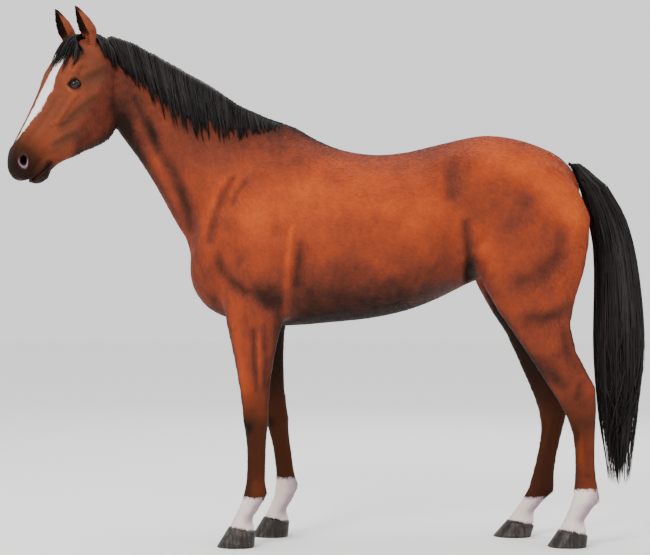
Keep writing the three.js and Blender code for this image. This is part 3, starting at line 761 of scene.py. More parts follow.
def shapeMouth(obj):
    co = coordsOf(obj)
    along, _, up = headSpace(straightened(co))
    distance = distanceToPath(np.column_stack([along, up]), mouth["line"])
    near = (along > 0.47) & (up < -0.09)
    depth = mouth["depth"] * bell(distance, mouth["reach"]) * near
    lips = mouth["lip"] * bell(distance - 0.009, 0.005) * near
    setCoords(obj, co + normalsOf(obj) * (lips - depth)[:, None])


def finishSkin(obj):
    shapeForms(obj)
    for share in (1, 0.72):  # a second, narrower round makes it finer still
        sites = []
        for side in ("left", "right"):
            sites.append((eyeAxes(side)[0], eye["fineMesh"] * share))
            sites.append((nostrilAxes(side)[0], nostril["fineMesh"] * share))
        refineNear(obj, sites)
    for side in ("left", "right"):
        shapeEyelids(obj, side)
        shapeNostril(obj, side)
    shapeMouth(obj)
    co = coordsOf(obj)
    calm = np.zeros(len(co))
    for side in ("left", "right"):
        opening = lidMeasure(co, side)[5]
        nearEye = distanceTo(eyeAxes(side)[0], co) < 0.06
        calm = np.maximum(calm, nearEye * smoothstep(1.3, 1.8, opening))
        calm = np.maximum(calm, distanceTo(nostrilAxes(side)[0], co) < 0.045)
    smoothSkin(obj, 2, calm * 0.7)


finishSkin(body)
print("skin with its forms:", len(body.data.polygons), "faces")

# Each marking, and the painted shade and highlights laid into the bay, is a number at every point of the
# skin, and the hairs take theirs from where they are rooted.
markings = {
    "baseShade": 0.47,
    "formShade": 0.58,  # how strongly the forms' painted shade and painted highlights show
    "blazeAlong": [0.00, 0.06, 0.15, 0.245, 0.33, 0.42, 0.465, 0.498],  # distance down the face
    "blazeNear": [-0.020, 0.030, 0.064, 0.067, 0.047, 0.026, 0.013, 0.001],  # its edge on the left
    "blazeFar": [0.000, 0.001, 0.004, 0.006, 0.005, 0.004, 0.003, 0.000],  # and on the right
    "sockTops": {"fore_left": 0.192, "fore_right": 0.236, "hind_left": 0.222, "hind_right": 0.160},
    "legDarkFrom": 0.70,  # height where the legs start to darken,
    "legDarkFull": 0.44,  # and where they are darkest
    "legDark": 0.60,
    "hindLegShare": 0.62,  # how much of that the hind legs have
    "kneeFront": 0.40,
    "hockFront": 0.22,
    "shins": 0.16,
    "muzzle": 0.97,
    "chin": 0.90,
    "earLining": 0.95,
    "earTip": 0.90,
    "muzzleDarkFrom": 0.385,
    "muzzleDarkFull": 0.590,
}
# painted highlights, where light falls on the round of the barrel, croup and thigh: a line in the side view,
# its reach, and how much lighter it is painted
paintedHighlights = {
    "barrel": ([(-0.28, 1.28), (0.05, 1.36), (0.32, 1.30)], 0.14, 0.24),
    "croup": ([(0.60, 1.50), (0.80, 1.44), (0.92, 1.28)], 0.085, 0.32),
    "thigh": ([(0.60, 1.20), (0.66, 1.10)], 0.06, 0.12),
}
shades = {
    # how much darker the bay is on each; all but the spine and the hind legs are painted shade
    "underBelly": 0.36,
    "back": 0.20,
    "spine": 0.30,
    "underside": 0.10,
    "innerLegs": 0.75,
    "legEdges": 0.20,
    "hindLegs": 0.08,
    "jowl": 0.16,
    "throat": 0.16,
    # and the white: a little darker all over, and painted shade behind the fetlock and in its hollows
    "white": 0.13,
    "whiteBehind": 0.56,
    "whiteHollows": 0.50,
}
pasternHollows = ([(-0.285, 0.150), (-0.310, 0.105)], [(0.985, 0.150), (0.960, 0.105)])


def isFore(straight):
    return straight[:, 0] < 0.2


def whiteDistance(straight):
    # Metres inside the edge of the nearest white marking; below zero outside it.
    along, side, up = headSpace(straight)
    left = -side
    near = np.interp(along, markings["blazeAlong"], markings["blazeNear"], left=-0.05, right=-0.05)
    far = np.interp(along, markings["blazeAlong"], markings["blazeFar"], left=0.05, right=0.05)
    blaze = np.minimum(near - left, left - far)
    blaze = np.where((up > -0.05) & (headShare(straight) > 0.5), blaze, -0.05)
    white = blaze
    for leg, top in markings["sockTops"].items():
        ofLeg = (isFore(straight) == leg.startswith("fore")) & ((straight[:, 1] < 0) == leg.endswith("left"))
        white = np.maximum(white, np.where(ofLeg, top - straight[:, 2], -0.05))
    return np.clip(white, -0.05, 0.05)


def bayShade(straight, normal):
    # 0 is the golden bay of the barrel and 1 the darkest brown. Painted shade and painted highlights are laid
    # into it.
    x, y, z = straight.T
    along, _, up = headSpace(straight)
    head = headShare(straight)
    side = np.column_stack([x, z])
    face = np.column_stack([along, up])
    outward = smoothstep(0.05, 0.5, np.abs(normal[:, 1]))
    onBody = 1 - head
    shade = np.full(len(x), markings["baseShade"])
    # painted shade along the forms' grooves and hollows, painted highlight on their ridges
    for forms, points, here in ((bodyForms, side, onBody), (headForms, face, head)):
        for path, reach, _, amount in forms.values():
            shade += markings["formShade"] * amount * softShade(points, path, reach) * outward * here
    trunk = smoothstep(0.72, 0.86, z) * onBody
    # painted shade under the belly, and under the mane towards the back; darker along the spine
    underBelly = smoothstep(1.16, 0.90, z) * smoothstep(-0.30, -0.05, x) * smoothstep(0.62, 0.40, x)
    shade += shades["underBelly"] * underBelly * trunk
    shade += shades["back"] * smoothstep(1.44, 1.58, z) * trunk * smoothstep(0.40, 0.10, x)
    shade += shades["spine"] * bell(y, 0.045) * smoothstep(1.30, 1.45, z) * onBody
    # painted highlights on the barrel, croup and thigh
    for path, reach, amount in paintedHighlights.values():
        shade -= amount * pathAmount(side, path, reach) * trunk
    # painted shade on surfaces that face down, on the legs' inner sides and at their front and back edges
    shade += shades["underside"] * smoothstep(-0.25, -0.90, normal[:, 2]) * onBody
    inner = smoothstep(-0.2, 0.6, -normal[:, 1] * np.sign(y)) * smoothstep(1.10, 0.78, z)
    shade += shades["innerLegs"] * inner * onBody
    ofLeg = smoothstep(0.96, 0.84, z)
    shade += shades["legEdges"] * ofLeg * (1 - smoothstep(0.35, 0.85, np.abs(normal[:, 1])))
    shade += shades["hindLegs"] * ofLeg * (x > 0.2) * smoothstep(0.30, 0.50, z)
    # painted shade under the jaw and in the throat
    shade += shades["jowl"] * smoothstep(0.05, -0.16, up) * head * smoothstep(0.30, 0.10, along)
    shade += shades["throat"] * pathAmount(side, [(-0.86, 1.69), (-0.83, 1.62)], 0.05)
    # where the coat is white, the number is that of the white: painted shade greys it behind the fetlock and
    # in its hollows
    behind = smoothstep(-0.1, 0.8, normal[:, 0]) * smoothstep(0.08, 0.16, z)
    hollow = sum(pathAmount(side, path, 0.020) for path in pasternHollows)
    ofWhite = shades["white"] + shades["whiteBehind"] * behind + shades["whiteHollows"] * hollow
    ofWhite = np.clip(ofWhite, 0, 1) * smoothstep(0.35, 0.25, z)
    return np.where(whiteDistance(straight) > 0.002, ofWhite, np.clip(shade, 0, 1.2))


def earLining(straight, normal):
    # One on the inside of the rolled ear, nothing on its back.
    lining = np.zeros(len(straight))
    for side, (root, lean, turn) in ears.items():
        out = -1 if side == "left" else 1
        axis = np.array([-math.sin(math.radians(lean)), 0, math.cos(math.radians(lean))])
        opening = np.array([-math.cos(math.radians(turn)), out * math.sin(math.radians(turn)), 0])
        away = straight - np.array(root)
        away = away - (away @ axis)[:, None] * axis
        outward = (normal * away).sum(1) / np.maximum(np.linalg.norm(away, axis=1), 1e-6)
        score = 0.7 * (normal @ opening) - 0.8 * outward
        lining = np.maximum(lining, smoothstep(-0.30, 0.10, score) * (straight[:, 1] * out > 0))
    return lining * earShare(straight)


def darkPoints(straight, normal):
    # 1 is the near-black of the muzzle, the ear linings and the lower legs.
    x, _, z = straight.T
    along, _, up = headSpace(straight)
    head = headShare(straight)
    legs = markings["legDark"] * smoothstep(markings["legDarkFrom"], markings["legDarkFull"], z)
    legs = np.where(isFore(straight), legs, legs * markings["hindLegShare"])
    legs *= 1 - 0.15 * smoothstep(0.30, 0.23, z)  # warmer again over the fetlocks
    side = np.column_stack([x, z])
    legs += markings["kneeFront"] * pathAmount(side, [(-0.34, 0.475), (-0.315, 0.462)], 0.024)
    legs += markings["hockFront"] * pathAmount(side, [(0.90, 0.50), (0.93, 0.44)], 0.030)
    fromShin = x - np.where(isFore(straight), -0.318, 0.940)
    legs += markings["shins"] * bell(fromShin, 0.016) * smoothstep(0.50, 0.42, z)
    downNose = along + 0.15 * (up + 0.08)
    muzzle = smoothstep(markings["muzzleDarkFrom"], markings["muzzleDarkFull"], downNose)
    chin = smoothstep(0.455, 0.500, along) * smoothstep(-0.135, -0.160, up)
    muzzle = np.maximum(markings["muzzle"] * muzzle, markings["chin"] * chin) * head
    lining = markings["earLining"] * earLining(straight, normal)
    tip = markings["earTip"] * earShare(straight) * smoothstep(2.022, 2.050, z)
    eyeRims = np.zeros(len(x))
    for side in ("left", "right"):
        opening = lidMeasure(placed(straight), side)
        eyeRims = np.maximum(eyeRims, smoothstep(1.62, 1.22, opening[5]) * (opening[4] > 0))
    return np.clip(np.maximum.reduce([legs, muzzle, lining, tip, eyeRims]), 0, 1)


def lightRings(straight):
    # The pale ring round each eye, and the pinkish rim of each nostril, as two numbers.
    world = placed(straight)
    pale = 0.40 * headShare(straight)
    pink = np.zeros(len(world))
    for side in ("left", "right"):
        _, _, u, w, n, opening = lidMeasure(world, side)
        front = 0.15 + 0.55 * smoothstep(0.000, -0.022, u) + 0.15 * smoothstep(0, -0.010, w)
        pale = np.maximum(pale, (n > 0) * bell(opening - 2.2, 0.50) * front)
        away, n, ring = nostrilMeasure(world, side)
        low = smoothstep(0.016, -0.010, away[:, 2])
        here = np.abs(n) < 0.035
        pink = np.maximum(pink, here * bell(ring - 1.20, 0.20) * (0.06 + 0.74 * low))
    return pale, pink


def nostrilInside(straight):
    # Near-black inside each nostril: its dark lining, deepened by painted shade in the hollow.
    world = placed(straight)
    dark = np.zeros(len(world))
    for side in ("left", "right"):
        _, n, ring = nostrilMeasure(world, side)
        dark = np.maximum(dark, (np.abs(n) < 0.035) * smoothstep(1.05, 0.85, ring))
    return dark


def allMarkings(straight, normal):
    pale, pink = lightRings(straight)
    return {
        "bay": bayShade(straight, normal),
        "white": whiteDistance(straight),
        "point": np.maximum(darkPoints(straight, normal), nostrilInside(straight)),
        "pale": pale,
        "pink": pink,
    }


def addNumber(obj, name, values):
    layer = obj.data.attributes.new(name, "FLOAT", "POINT")
    layer.data.foreach_set("value", np.asarray(values, np.float32))


def markSkin(obj):
    normal = normalsOf(obj)
    straight = straightened(coordsOf(obj))
    values = allMarkings(straight, straightNormals(obj, normal))
    for name, numbers in values.items():
        addNumber(obj, name, numbers)
    addNumber(obj, "tone", np.full(len(straight), 0.5))
    addNumber(obj, "tip", np.zeros(len(straight)))
    return values


def addNode(tree, kind, inputs, out=0, stops=(), **settings):
    # Adds one node with its settings and links, and gives back its output. A ramp also takes its stops.
    made = tree.nodes.new("ShaderNode" + kind)
    for key, value in settings.items():
        setattr(made, key, value)
    feed(tree, made, inputs)
    if stops:
        elements = made.color_ramp.elements
        while len(elements) < len(stops):
            elements.new(0.5)
        for element, (place, hexCode) in zip(elements, stops):
            element.position = place
            element.color = srgb(hexCode)
    return made.outputs[out]


def noiseScale(millimetres):
    # A noise of scale one varies over about half a metre.
    return 500 / millimetres


coatLook = {
    "bayStops": [(0.00, "#b65121"), (0.28, "#963e21"), (0.54, "#6d3224"),
                 (0.80, "#40231d"), (1.00, "#1c1211")],
    "points": "#14100f",
    "legBrown": "#422115",
    "whiteStops": [(0.0, "#fbf8f5"), (0.15, "#ecdcd3"), (0.45, "#c9b3b3"), (0.80, "#9f8b95")],
    "pinkSkin": "#8e7482",
    "paleStops": [(0.42, "#73432d"), (0.85, "#9a6a42")],
    "patchSize": 55,  # mm across the soft patches that mottle a bay coat,
    "patchShade": 0.46,  # and how much they shade it
    "speckleSize": 14,  # mm across the finer mottling,
    "speckleShade": 0.26,  # and how much it shades the coat
    "toneShade": 0.07,  # how much the tufts differ in shade
    "evenOut": 0.395,  # the mean of these three, taken off again
    "whiteEdge": 13,  # mm across the teeth of the white's edge
    "hairSize": 2.2,  # mm across the strokes of the short hair, a few hairs wide so that they show
    "sheenTint": "#ffc79a",
}


def coatColour(tree):
    # Mottled bay with its painted shade and highlights, darkened to the points, with the white markings laid
    # over with a broken edge.
    names = ("bay", "tone", "pale", "point", "pink", "white")
    bayShare, tone, paleShare, pointShare, pinkShare, whiteShare = [
        addNode(tree, "Attribute", {}, "Fac", attribute_name=name) for name in names]
    place = addNode(tree, "TexCoord", {}, "Object")
    patches = addNode(tree, "TexNoise", {"Vector": place, "Scale": noiseScale(coatLook["patchSize"]),
                                         "Detail": 4.0, "Roughness": 0.55}, "Fac")
    speckles = addNode(tree, "TexNoise", {"Vector": place, "Scale": noiseScale(coatLook["speckleSize"]),
                                          "Detail": 4.0, "Roughness": 0.6}, "Fac")
    shade = bayShare
    for values, strength in ((patches, "patchShade"), (speckles, "speckleShade"), (tone, "toneShade")):
        shade = addNode(tree, "Math", {0: values, 1: coatLook[strength], 2: shade}, operation="MULTIPLY_ADD")
    shade = addNode(tree, "Math", {0: shade, 1: coatLook["evenOut"]}, operation="SUBTRACT")
    colour = addNode(tree, "ValToRGB", {0: shade}, stops=coatLook["bayStops"])
    pale = addNode(tree, "ValToRGB", {0: paleShare}, stops=coatLook["paleStops"])
    brown = addNode(tree, "MapRange", {"Value": pointShare, 1: 0.0, 2: 0.6})
    black = addNode(tree, "MapRange", {"Value": pointShare, 1: 0.5, 2: 1.0})
    layers = ((paleShare, pale), (brown, srgb(coatLook["legBrown"])), (black, srgb(coatLook["points"])),
              (pinkShare, srgb(coatLook["pinkSkin"])))
    for share, over in layers:
        colour = addNode(tree, "Mix", {"Factor": share, 6: colour, 7: over}, 2, data_type="RGBA")
    teeth = addNode(tree, "TexNoise", {"Vector": place, "Scale": noiseScale(coatLook["whiteEdge"]),
                                       "Detail": 2.0}, "Fac")
    edge = addNode(tree, "Math", {0: teeth, 1: 0.016, 2: whiteShare}, operation="MULTIPLY_ADD")
    white = addNode(tree, "MapRange", {"Value": edge, 1: 0.0060, 2: 0.0095}, interpolation_type="SMOOTHSTEP")
    # on the white, random patches and the painted shade behind the fetlocks and in their hollows grey it
    whiteToneAndShade = addNode(tree, "Math", {0: patches, 1: -0.45, 2: bayShare}, operation="MULTIPLY_ADD")
    whiteToneAndShade = addNode(tree, "Math", {0: whiteToneAndShade, 1: 0.30}, operation="ADD")
    whites = addNode(tree, "ValToRGB", {0: whiteToneAndShade}, stops=coatLook["whiteStops"])
    return addNode(tree, "Mix", {"Factor": white, 6: colour, 7: whites}, 2, data_type="RGBA")


def sleekCoat():
    # Short summer hair, groomed flat: a soft sheen on a matt base, with the strokes of the hair in the bump.
    material, tree, shader = newMaterial("groomed horsehair, short")
    place = addNode(tree, "TexCoord", {}, "Object")
    strokes = addNode(tree, "TexNoise", {"Vector": place, "Scale": noiseScale(coatLook["hairSize"]),
                                         "Detail": 2.0}, "Fac")
    bump = addNode(tree, "Bump", {"Strength": 0.25, "Distance": 0.0006, "Height": strokes})
    feed(tree, shader, {"Base Color": coatColour(tree), "Normal": bump, "Roughness": 0.52,
                        "Specular IOR Level": 0.09, "Specular Tint": srgb(coatLook["sheenTint"])})
    return material


hornLook = {
    "stops": [(0.45, "#171312"), (0.80, "#2b2623"), (1.0, "#48413b")],
    "grainSize": 5,  # mm across the straight grain down the wall
    "bandSize": 12,  # mm between the bands across it
}


def keratinHoof():
    # Dark horn, rasped smooth and oiled: a dull gloss, with bands across and straight grain down the wall.
    material, tree, shader = newMaterial("hoof horn, rasped and oiled")
    place = addNode(tree, "TexCoord", {}, "Object")
    alongWall = addNode(tree, "Mapping", {"Vector": place, "Scale": (1, 1, 0.12)})
    grain = addNode(tree, "TexNoise", {"Vector": alongWall, "Scale": noiseScale(hornLook["grainSize"]),
                                       "Detail": 3.0}, "Fac")
    acrossWall = addNode(tree, "Mapping", {"Vector": place, "Scale": (0.1, 0.1, 1)})
    bands = addNode(tree, "TexNoise", {"Vector": acrossWall, "Scale": noiseScale(hornLook["bandSize"]),
                                       "Detail": 2.0}, "Fac")
    both = addNode(tree, "Math", {0: bands, 1: 0.6, 2: grain}, operation="MULTIPLY_ADD")
    bump = addNode(tree, "Bump", {"Strength": 0.35, "Distance": 0.0008, "Height": both})
    colour = addNode(tree, "ValToRGB", {0: both}, stops=hornLook["stops"])
    feed(tree, shader, {"Base Color": colour, "Normal": bump, "Roughness": 0.42, "Specular IOR Level": 0.22})
    return material


longHairLook = {
    "stops": [(0.20, "#080606"), (0.62, "#100c0b"), (0.90, "#191412"), (1.0, "#2a2524")],
    "streakSize": 30,  # mm across the streaks of lighter and darker hair
}


def longHair():
    # Coarse black hair: each strand has its own tone, from brown-black to a cool grey gloss.
    material, tree, shader = newMaterial("horsehair, long and coarse")
    tone, tip = [addNode(tree, "Attribute", {}, "Fac", attribute_name=name) for name in ("tone", "tip")]
    place = addNode(tree, "TexCoord", {}, "Object")
    streaks = addNode(tree, "TexNoise", {"Vector": place, "Scale": noiseScale(longHairLook["streakSize"]),
                                         "Detail": 3.0}, "Fac")
    mixed = addNode(tree, "Math", {0: streaks, 1: 0.30, 2: tone}, operation="MULTIPLY_ADD")
    aged = addNode(tree, "Math", {0: tip, 1: 0.10, 2: mixed}, operation="MULTIPLY_ADD")
    colour = addNode(tree, "ValToRGB", {0: aged}, stops=longHairLook["stops"])
    feed(tree, shader, {"Base Color": colour, "Roughness": 0.42, "Specular IOR Level": 0.17})
    return material


eyeLook = {
    "irisStops": [(0.10, "#150a05"), (0.45, "#241208"), (0.78, "#0e0704"), (1.0, "#1b110d")],
    "pupil": "#060505",
    "fibreSize": 3,  # mm across the fibres of the iris
}


def wetEye():
    # A moist eyeball: brown iris with a long level pupil under a clear glossy surface.
    material, tree, shader = newMaterial("horse eye, moist")
    gaze, pupil = [addNode(tree, "Attribute", {}, "Fac", attribute_name=name) for name in ("gaze", "pupil")]
    place = addNode(tree, "TexCoord", {}, "Object")
    fibres = addNode(tree, "TexNoise", {"Vector": place, "Scale": noiseScale(eyeLook["fibreSize"]),
                                        "Detail": 3.0}, "Fac")
    ring = addNode(tree, "Math", {0: fibres, 1: 0.18, 2: gaze}, operation="MULTIPLY_ADD")
    iris = addNode(tree, "ValToRGB", {0: ring}, stops=eyeLook["irisStops"])
    share = addNode(tree, "MapRange", {"Value": pupil, 1: 0.9, 2: 1.1})
    colour = addNode(tree, "Mix", {"Factor": share, 6: srgb(eyeLook["pupil"]), 7: iris}, 2, data_type="RGBA")
    feed(tree, shader, {"Base Color": colour, "Roughness": 0.05, "Specular IOR Level": 0.28})
    return material


skinValues = markSkin(body)
coatFinish = sleekCoat()
body.data.materials.clear()
body.data.materials.append(coatFinish)
print("skin marked")


def meshFromArrays(name, co, corners, sizes):
    mesh = bpy.data.meshes.new(name)
    mesh.vertices.add(len(co))
    mesh.vertices.foreach_set("co", co.astype(np.float32).ravel())
    mesh.loops.add(len(corners))
    mesh.loops.foreach_set("vertex_index", corners.astype(np.int32))
    mesh.polygons.add(len(sizes))
    starts = np.concatenate([[0], np.cumsum(sizes)[:-1]])
    mesh.polygons.foreach_set("loop_start", starts.astype(np.int32))
    mesh.polygons.foreach_set("loop_total", sizes.astype(np.int32))
    mesh.update(calc_edges=True)
    mesh.polygons.foreach_set("use_smooth", np.ones(len(sizes), bool))
    obj = bpy.data.objects.new(name, mesh)
    bpy.context.scene.collection.objects.link(obj)
    return obj


def tubeFaces(rows, around):
    # Corners of the faces of each row between the rings of a tube.
    ring = np.arange(around)
    nextOne = (ring + 1) % around
    first = np.column_stack([ring, nextOne, around + nextOne, around + ring]).ravel()
    return [row * around + first for row in range(rows - 1)]


def makeHairs(name, rings, tips, patch, patchSize, numbers, facing=None):
    # Each hair is a row of rings of points closed by a face at the root and a point at the tip. Its patch on
    # the OFBake map has the ring across and the length up.
    count, along, around, _ = rings.shape
    per = along * around + 1
    co = np.concatenate([rings.reshape(count, -1, 3), tips[:, None]], axis=1).reshape(-1, 3)
    ring = np.arange(around)
    nextOne = (ring + 1) % around
    last = (along - 1) * around
    ends = np.column_stack([last + ring, last + nextOne, np.full(around, per - 1)])
    corners = np.concatenate([ring[::-1], *tubeFaces(along, around), ends.ravel()])
    sizes = np.concatenate([[around], np.full(around * (along - 1), 4), np.full(around, 3)])
    allCorners = (corners[None] + per * np.arange(count)[:, None]).ravel()
    obj = meshFromArrays(name, co, allCorners, np.tile(sizes, count))
    across = np.abs(np.linspace(-1, 1, around, endpoint=False)) if around > 3 else np.array([0.0, 1.0, 0.5])
    u = np.concatenate([np.tile(across, along), [0.5]])
    v = np.concatenate([np.repeat(np.arange(along) / along, around), [1.0]])
    uv = patch[:, None] + np.column_stack([u, v])[None] * np.asarray(patchSize)
    layer = obj.data.uv_layers.new(name="OFBake")
    layer.data.foreach_set("uv", uv.reshape(-1, 2)[allCorners].astype(np.float32).ravel())
    for key, values in numbers.items():
        addNumber(obj, key, np.repeat(values, per))
    addNumber(obj, "tip", np.tile(v, count))
    if facing is not None:
        obj.data.normals_split_custom_set_from_vertices(np.repeat(facing, per, axis=0))
    return obj


def unwrapSkin(obj):
    obj.data.uv_layers.new(name="OFBake")
    openInEdit(obj)
    bpy.ops.uv.smart_project(angle_limit=math.radians(66), island_margin=0.002, area_weight=0.0)
    bpy.ops.object.mode_set(mode="OBJECT")


unwrapSkin(body)
print("skin unwrapped")

coat = {
    "length": 0.0165,
    "width": 0.0038,
    "thickness": 0.0007,
    "lift": 0.0012,  # how far the tips stand off the skin
    "seed": 4,
    # how much shorter and how much finer the tufts are on each
    "smaller": {"lowLegs": (0.35, 0.30), "head": (0.45, 0.42), "eyes": (0.55, 0.45),
                "ears": (0.45, 0.40), "muzzle": (0.45, 0.25)},
    # Where the coat points in the side view: place, then direction. In between it swings over.
    "lie": [
        (-0.86, 1.88, 0.50, -0.86), (-0.72, 1.66, 0.60, -0.80), (-0.80, 1.58, 0.45, -0.89),
        (-0.52, 1.36, 0.35, -0.94), (-0.18, 1.58, 0.95, -0.30), (-0.33, 1.30, 0.50, -0.87),
        (-0.47, 1.08, 0.20, -0.98), (-0.20, 0.98, 0.45, -0.89), (0.08, 1.30, 0.93, -0.36),
        (0.10, 0.92, 0.99, 0.10), (0.20, 1.52, 0.98, -0.20), (0.44, 1.22, 0.60, -0.50),
        (0.62, 1.05, 0.35, -0.93), (0.65, 1.55, 0.90, -0.42), (0.86, 1.42, 0.55, -0.83),
        (0.75, 1.20, 0.45, -0.89), (0.95, 1.20, -0.10, -0.99), (0.80, 0.84, 0.25, -0.97),
        (0.95, 0.50, 0.05, -1.00), (0.97, 0.25, 0.00, -1.00), (-0.29, 0.70, 0.06, -1.00),
        (-0.29, 0.40, 0.02, -1.00), (-0.29, 0.20, 0.06, -1.00), (-1.08, 1.86, -0.52, -0.85),
        (-1.22, 1.64, -0.50, -0.87), (-1.00, 1.74, 0.15, -0.99), (-1.02, 1.64, 0.20, -0.98),
        (-1.25, 1.52, -0.30, -0.95), (-0.98, 2.00, -0.30, 0.95),
    ],
}


def coatLie(straight):
    table = np.array(coat["lie"])
    dx = straight[:, 0][:, None] - table[:, 0]
    dz = straight[:, 2][:, None] - table[:, 1]
    weight = 1 / (dx * dx + dz * dz + 0.004) ** 1.5
    x = (weight * table[:, 2]).sum(1)
    z = (weight * table[:, 3]).sum(1)
    return np.column_stack([x, np.zeros(len(x)), z]) / np.hypot(x, z)[:, None]


def trianglesOf(obj):
    mesh = obj.data
    mesh.calc_loop_triangles()
    count = len(mesh.loop_triangles)
    verts = np.empty(count * 3, np.int32)
    loops = np.empty(count * 3, np.int32)
    polygons = np.empty(count, np.int32)
    mesh.loop_triangles.foreach_get("vertices", verts)
    mesh.loop_triangles.foreach_get("loops", loops)
    mesh.loop_triangles.foreach_get("polygon_index", polygons)
    return verts.reshape(-1, 3), loops.reshape(-1, 3), polygons


def scatterRoots(obj, spacing, chance):
    # Evenly spread places on the skin, about one to each square of the given spacing.
    rng = np.random.default_rng(coat["seed"])
    verts, loops, _ = trianglesOf(obj)
    co = coordsOf(obj)
    a, b, c = co[verts[:, 0]], co[verts[:, 1]], co[verts[:, 2]]
    area = np.linalg.norm(np.cross(b - a, c - a), axis=1) / 2
    wish = area / spacing[verts].mean(1) ** 2 * chance[verts].mean(1)
    running = np.cumsum(wish) + rng.random()
    number = np.floor(running).astype(int) - np.concatenate([[0], np.floor(running[:-1])]).astype(int)
    face = np.repeat(np.arange(len(verts)), number)
    share = rng.random((len(face), 2))
    over = share.sum(1) > 1
    share[over] = 1 - share[over]
    bary = np.column_stack([1 - share.sum(1), share])
    uv = np.empty(len(obj.data.loops) * 2, np.float32)
    obj.data.uv_layers["OFBake"].data.foreach_get("uv", uv)
    uv = uv.reshape(-1, 2)
    return verts[face], bary, (uv[loops[face]] * bary[..., None]).sum(1)


def onSkin(values, corners, bary):
    picked = values[corners]
    return (picked * (bary[..., None] if picked.ndim == 3 else bary)).sum(1)


def coatSizes(straight):
    # Length and width of the tufts, and the share of places that carry one.
    x, _, z = straight.T
    along, _, up = headSpace(straight)
    head = headShare(straight)
    world = placed(straight)
    chance = np.ones(len(x))
    nearEye = np.zeros(len(x))
    for side in ("left", "right"):
        opening = lidMeasure(world, side)
        chance *= np.where((opening[5] < 1.5) & (opening[4] > 0), 0, 1)
        chance *= np.where(distanceTo(nostrilAxes(side)[0], world) < 0.021, 0, 1)
        nearEye = np.maximum(nearEye, smoothstep(0.060, 0.025, distanceTo(eyeAxes(side)[0], world)))
    places = {
        "lowLegs": smoothstep(0.85, 0.55, z),
        "head": head,
        "eyes": nearEye,
        "ears": earShare(straight),
        "muzzle": smoothstep(0.46, 0.56, along) * head,
    }
    length, width = np.full(len(x), coat["length"]), np.full(len(x), coat["width"])
    for name, share in places.items():
        shorter, finer = coat["smaller"][name]
        length *= 1 - shorter * share
        width *= 1 - finer * share
    lips = (distanceToPath(np.column_stack([along, up]), mouth["line"]) < 0.006) & (along > 0.46)
    chance *= np.where(lips, 0, 1)
    # longer behind the fetlocks and over the coronets
    rear = np.where(isFore(straight), smoothstep(-0.275, -0.245, x), smoothstep(0.985, 1.015, x))
    feather = rear * bell(z - 0.185, 0.035) * (z < 0.3)
    length *= 1 + 1.6 * feather
    chance *= 1 + 0.8 * feather
    return length, width, np.minimum(chance, 1.8)


def coatRegions(straight):
    x, _, z = straight.T
    head = headShare(straight) > 0.5
    leg = z < 0.80
    ear = head & (earShare(straight) > 0.5)
    return {
        "coatHead": head & ~ear,
        "coatEars": ear,
        "coatNeck": ~head & (x < -0.53),
        "coatShoulder": ~head & ~leg & (x >= -0.53) & (x < -0.13),
        "coatBarrel": ~head & ~leg & (x >= -0.13) & (x < 0.42),
        "coatCroup": ~head & (z >= 1.22) & (x >= 0.42),
        "coatThigh": ~head & ~leg & (z < 1.22) & (x >= 0.42),
        "coatForelegs": ~head & leg & (x >= -0.53) & (x < 0.2),
        "coatHindlegs": leg & (x >= 0.2),
    }


def makeCoat(skinObj, values):
    co, normal = coordsOf(skinObj), normalsOf(skinObj)
    straightAll = straightened(co)
    length, width, chance = coatSizes(straightAll)
    corners, bary, uv = scatterRoots(skinObj, width * 2.05, chance)
    rng = np.random.default_rng(coat["seed"] + 1)
    root = onSkin(co, corners, bary)
    up = unit(onSkin(normal, corners, bary))
    straight = straightened(root)
    lie = coatLie(straight)
    swing = rng.normal(0, 0.16, len(root))
    lie = np.column_stack([lie[:, 0] * np.cos(swing) - lie[:, 2] * np.sin(swing), lie[:, 1],
                           lie[:, 0] * np.sin(swing) + lie[:, 2] * np.cos(swing)])
    flow = placed(straight + lie * 0.003) - root
    flow = unit(flow - up * (flow * up).sum(1)[:, None])
    side = np.cross(up, flow)
    long = onSkin(length, corners, bary) * rng.uniform(0.75, 1.2, len(root))
    wide = onSkin(width, corners, bary) * rng.uniform(0.8, 1.15, len(root)) / 2
    thick = coat["thickness"] * wide / (coat["width"] / 2)
    lift = coat["lift"] * rng.uniform(0.6, 1.3, len(root)) * np.minimum(long / coat["length"], 1.5)

    def at(alongShare, raised, half, ridge):
        middleLine = root + flow * (long * alongShare)[:, None] + up * raised[:, None]
        left = middleLine - side * half[:, None]
        right = middleLine + side * half[:, None]
        top = middleLine + up * ridge[:, None]
        return np.stack([left, right, top], axis=1)

    rootRing = at(0, -0.4 * thick, wide * 0.75, thick * 0.7)
    rings = np.stack([rootRing, at(0.52, lift * 0.45, wide, thick)], axis=1)
    tips = root + flow * long[:, None] + up * lift[:, None]
    numbers = {key: onSkin(array, corners, bary) for key, array in values.items()}
    numbers["tone"] = rng.random(len(root))
    # short hair that lies flat takes the light as the skin under it does, give or take a little
    facing = up + side * rng.normal(0, 0.10, len(root))[:, None]
    facing += flow * rng.normal(0.04, 0.06, len(root))[:, None]
    facing = unit(facing)
    pieces = []
    for name, chosen in coatRegions(straight).items():
        piece = makeHairs(name, rings[chosen], tips[chosen], uv[chosen] - 0.0015, (0.003, 0.003),
                          {key: array[chosen] for key, array in numbers.items()}, facing[chosen])
        piece.data.materials.append(coatFinish)
        print(" ", name, int(chosen.sum()) * 10, "triangles")
        pieces.append(piece)
    return pieces


coatPieces = makeCoat(body, skinValues)
print("coat made")


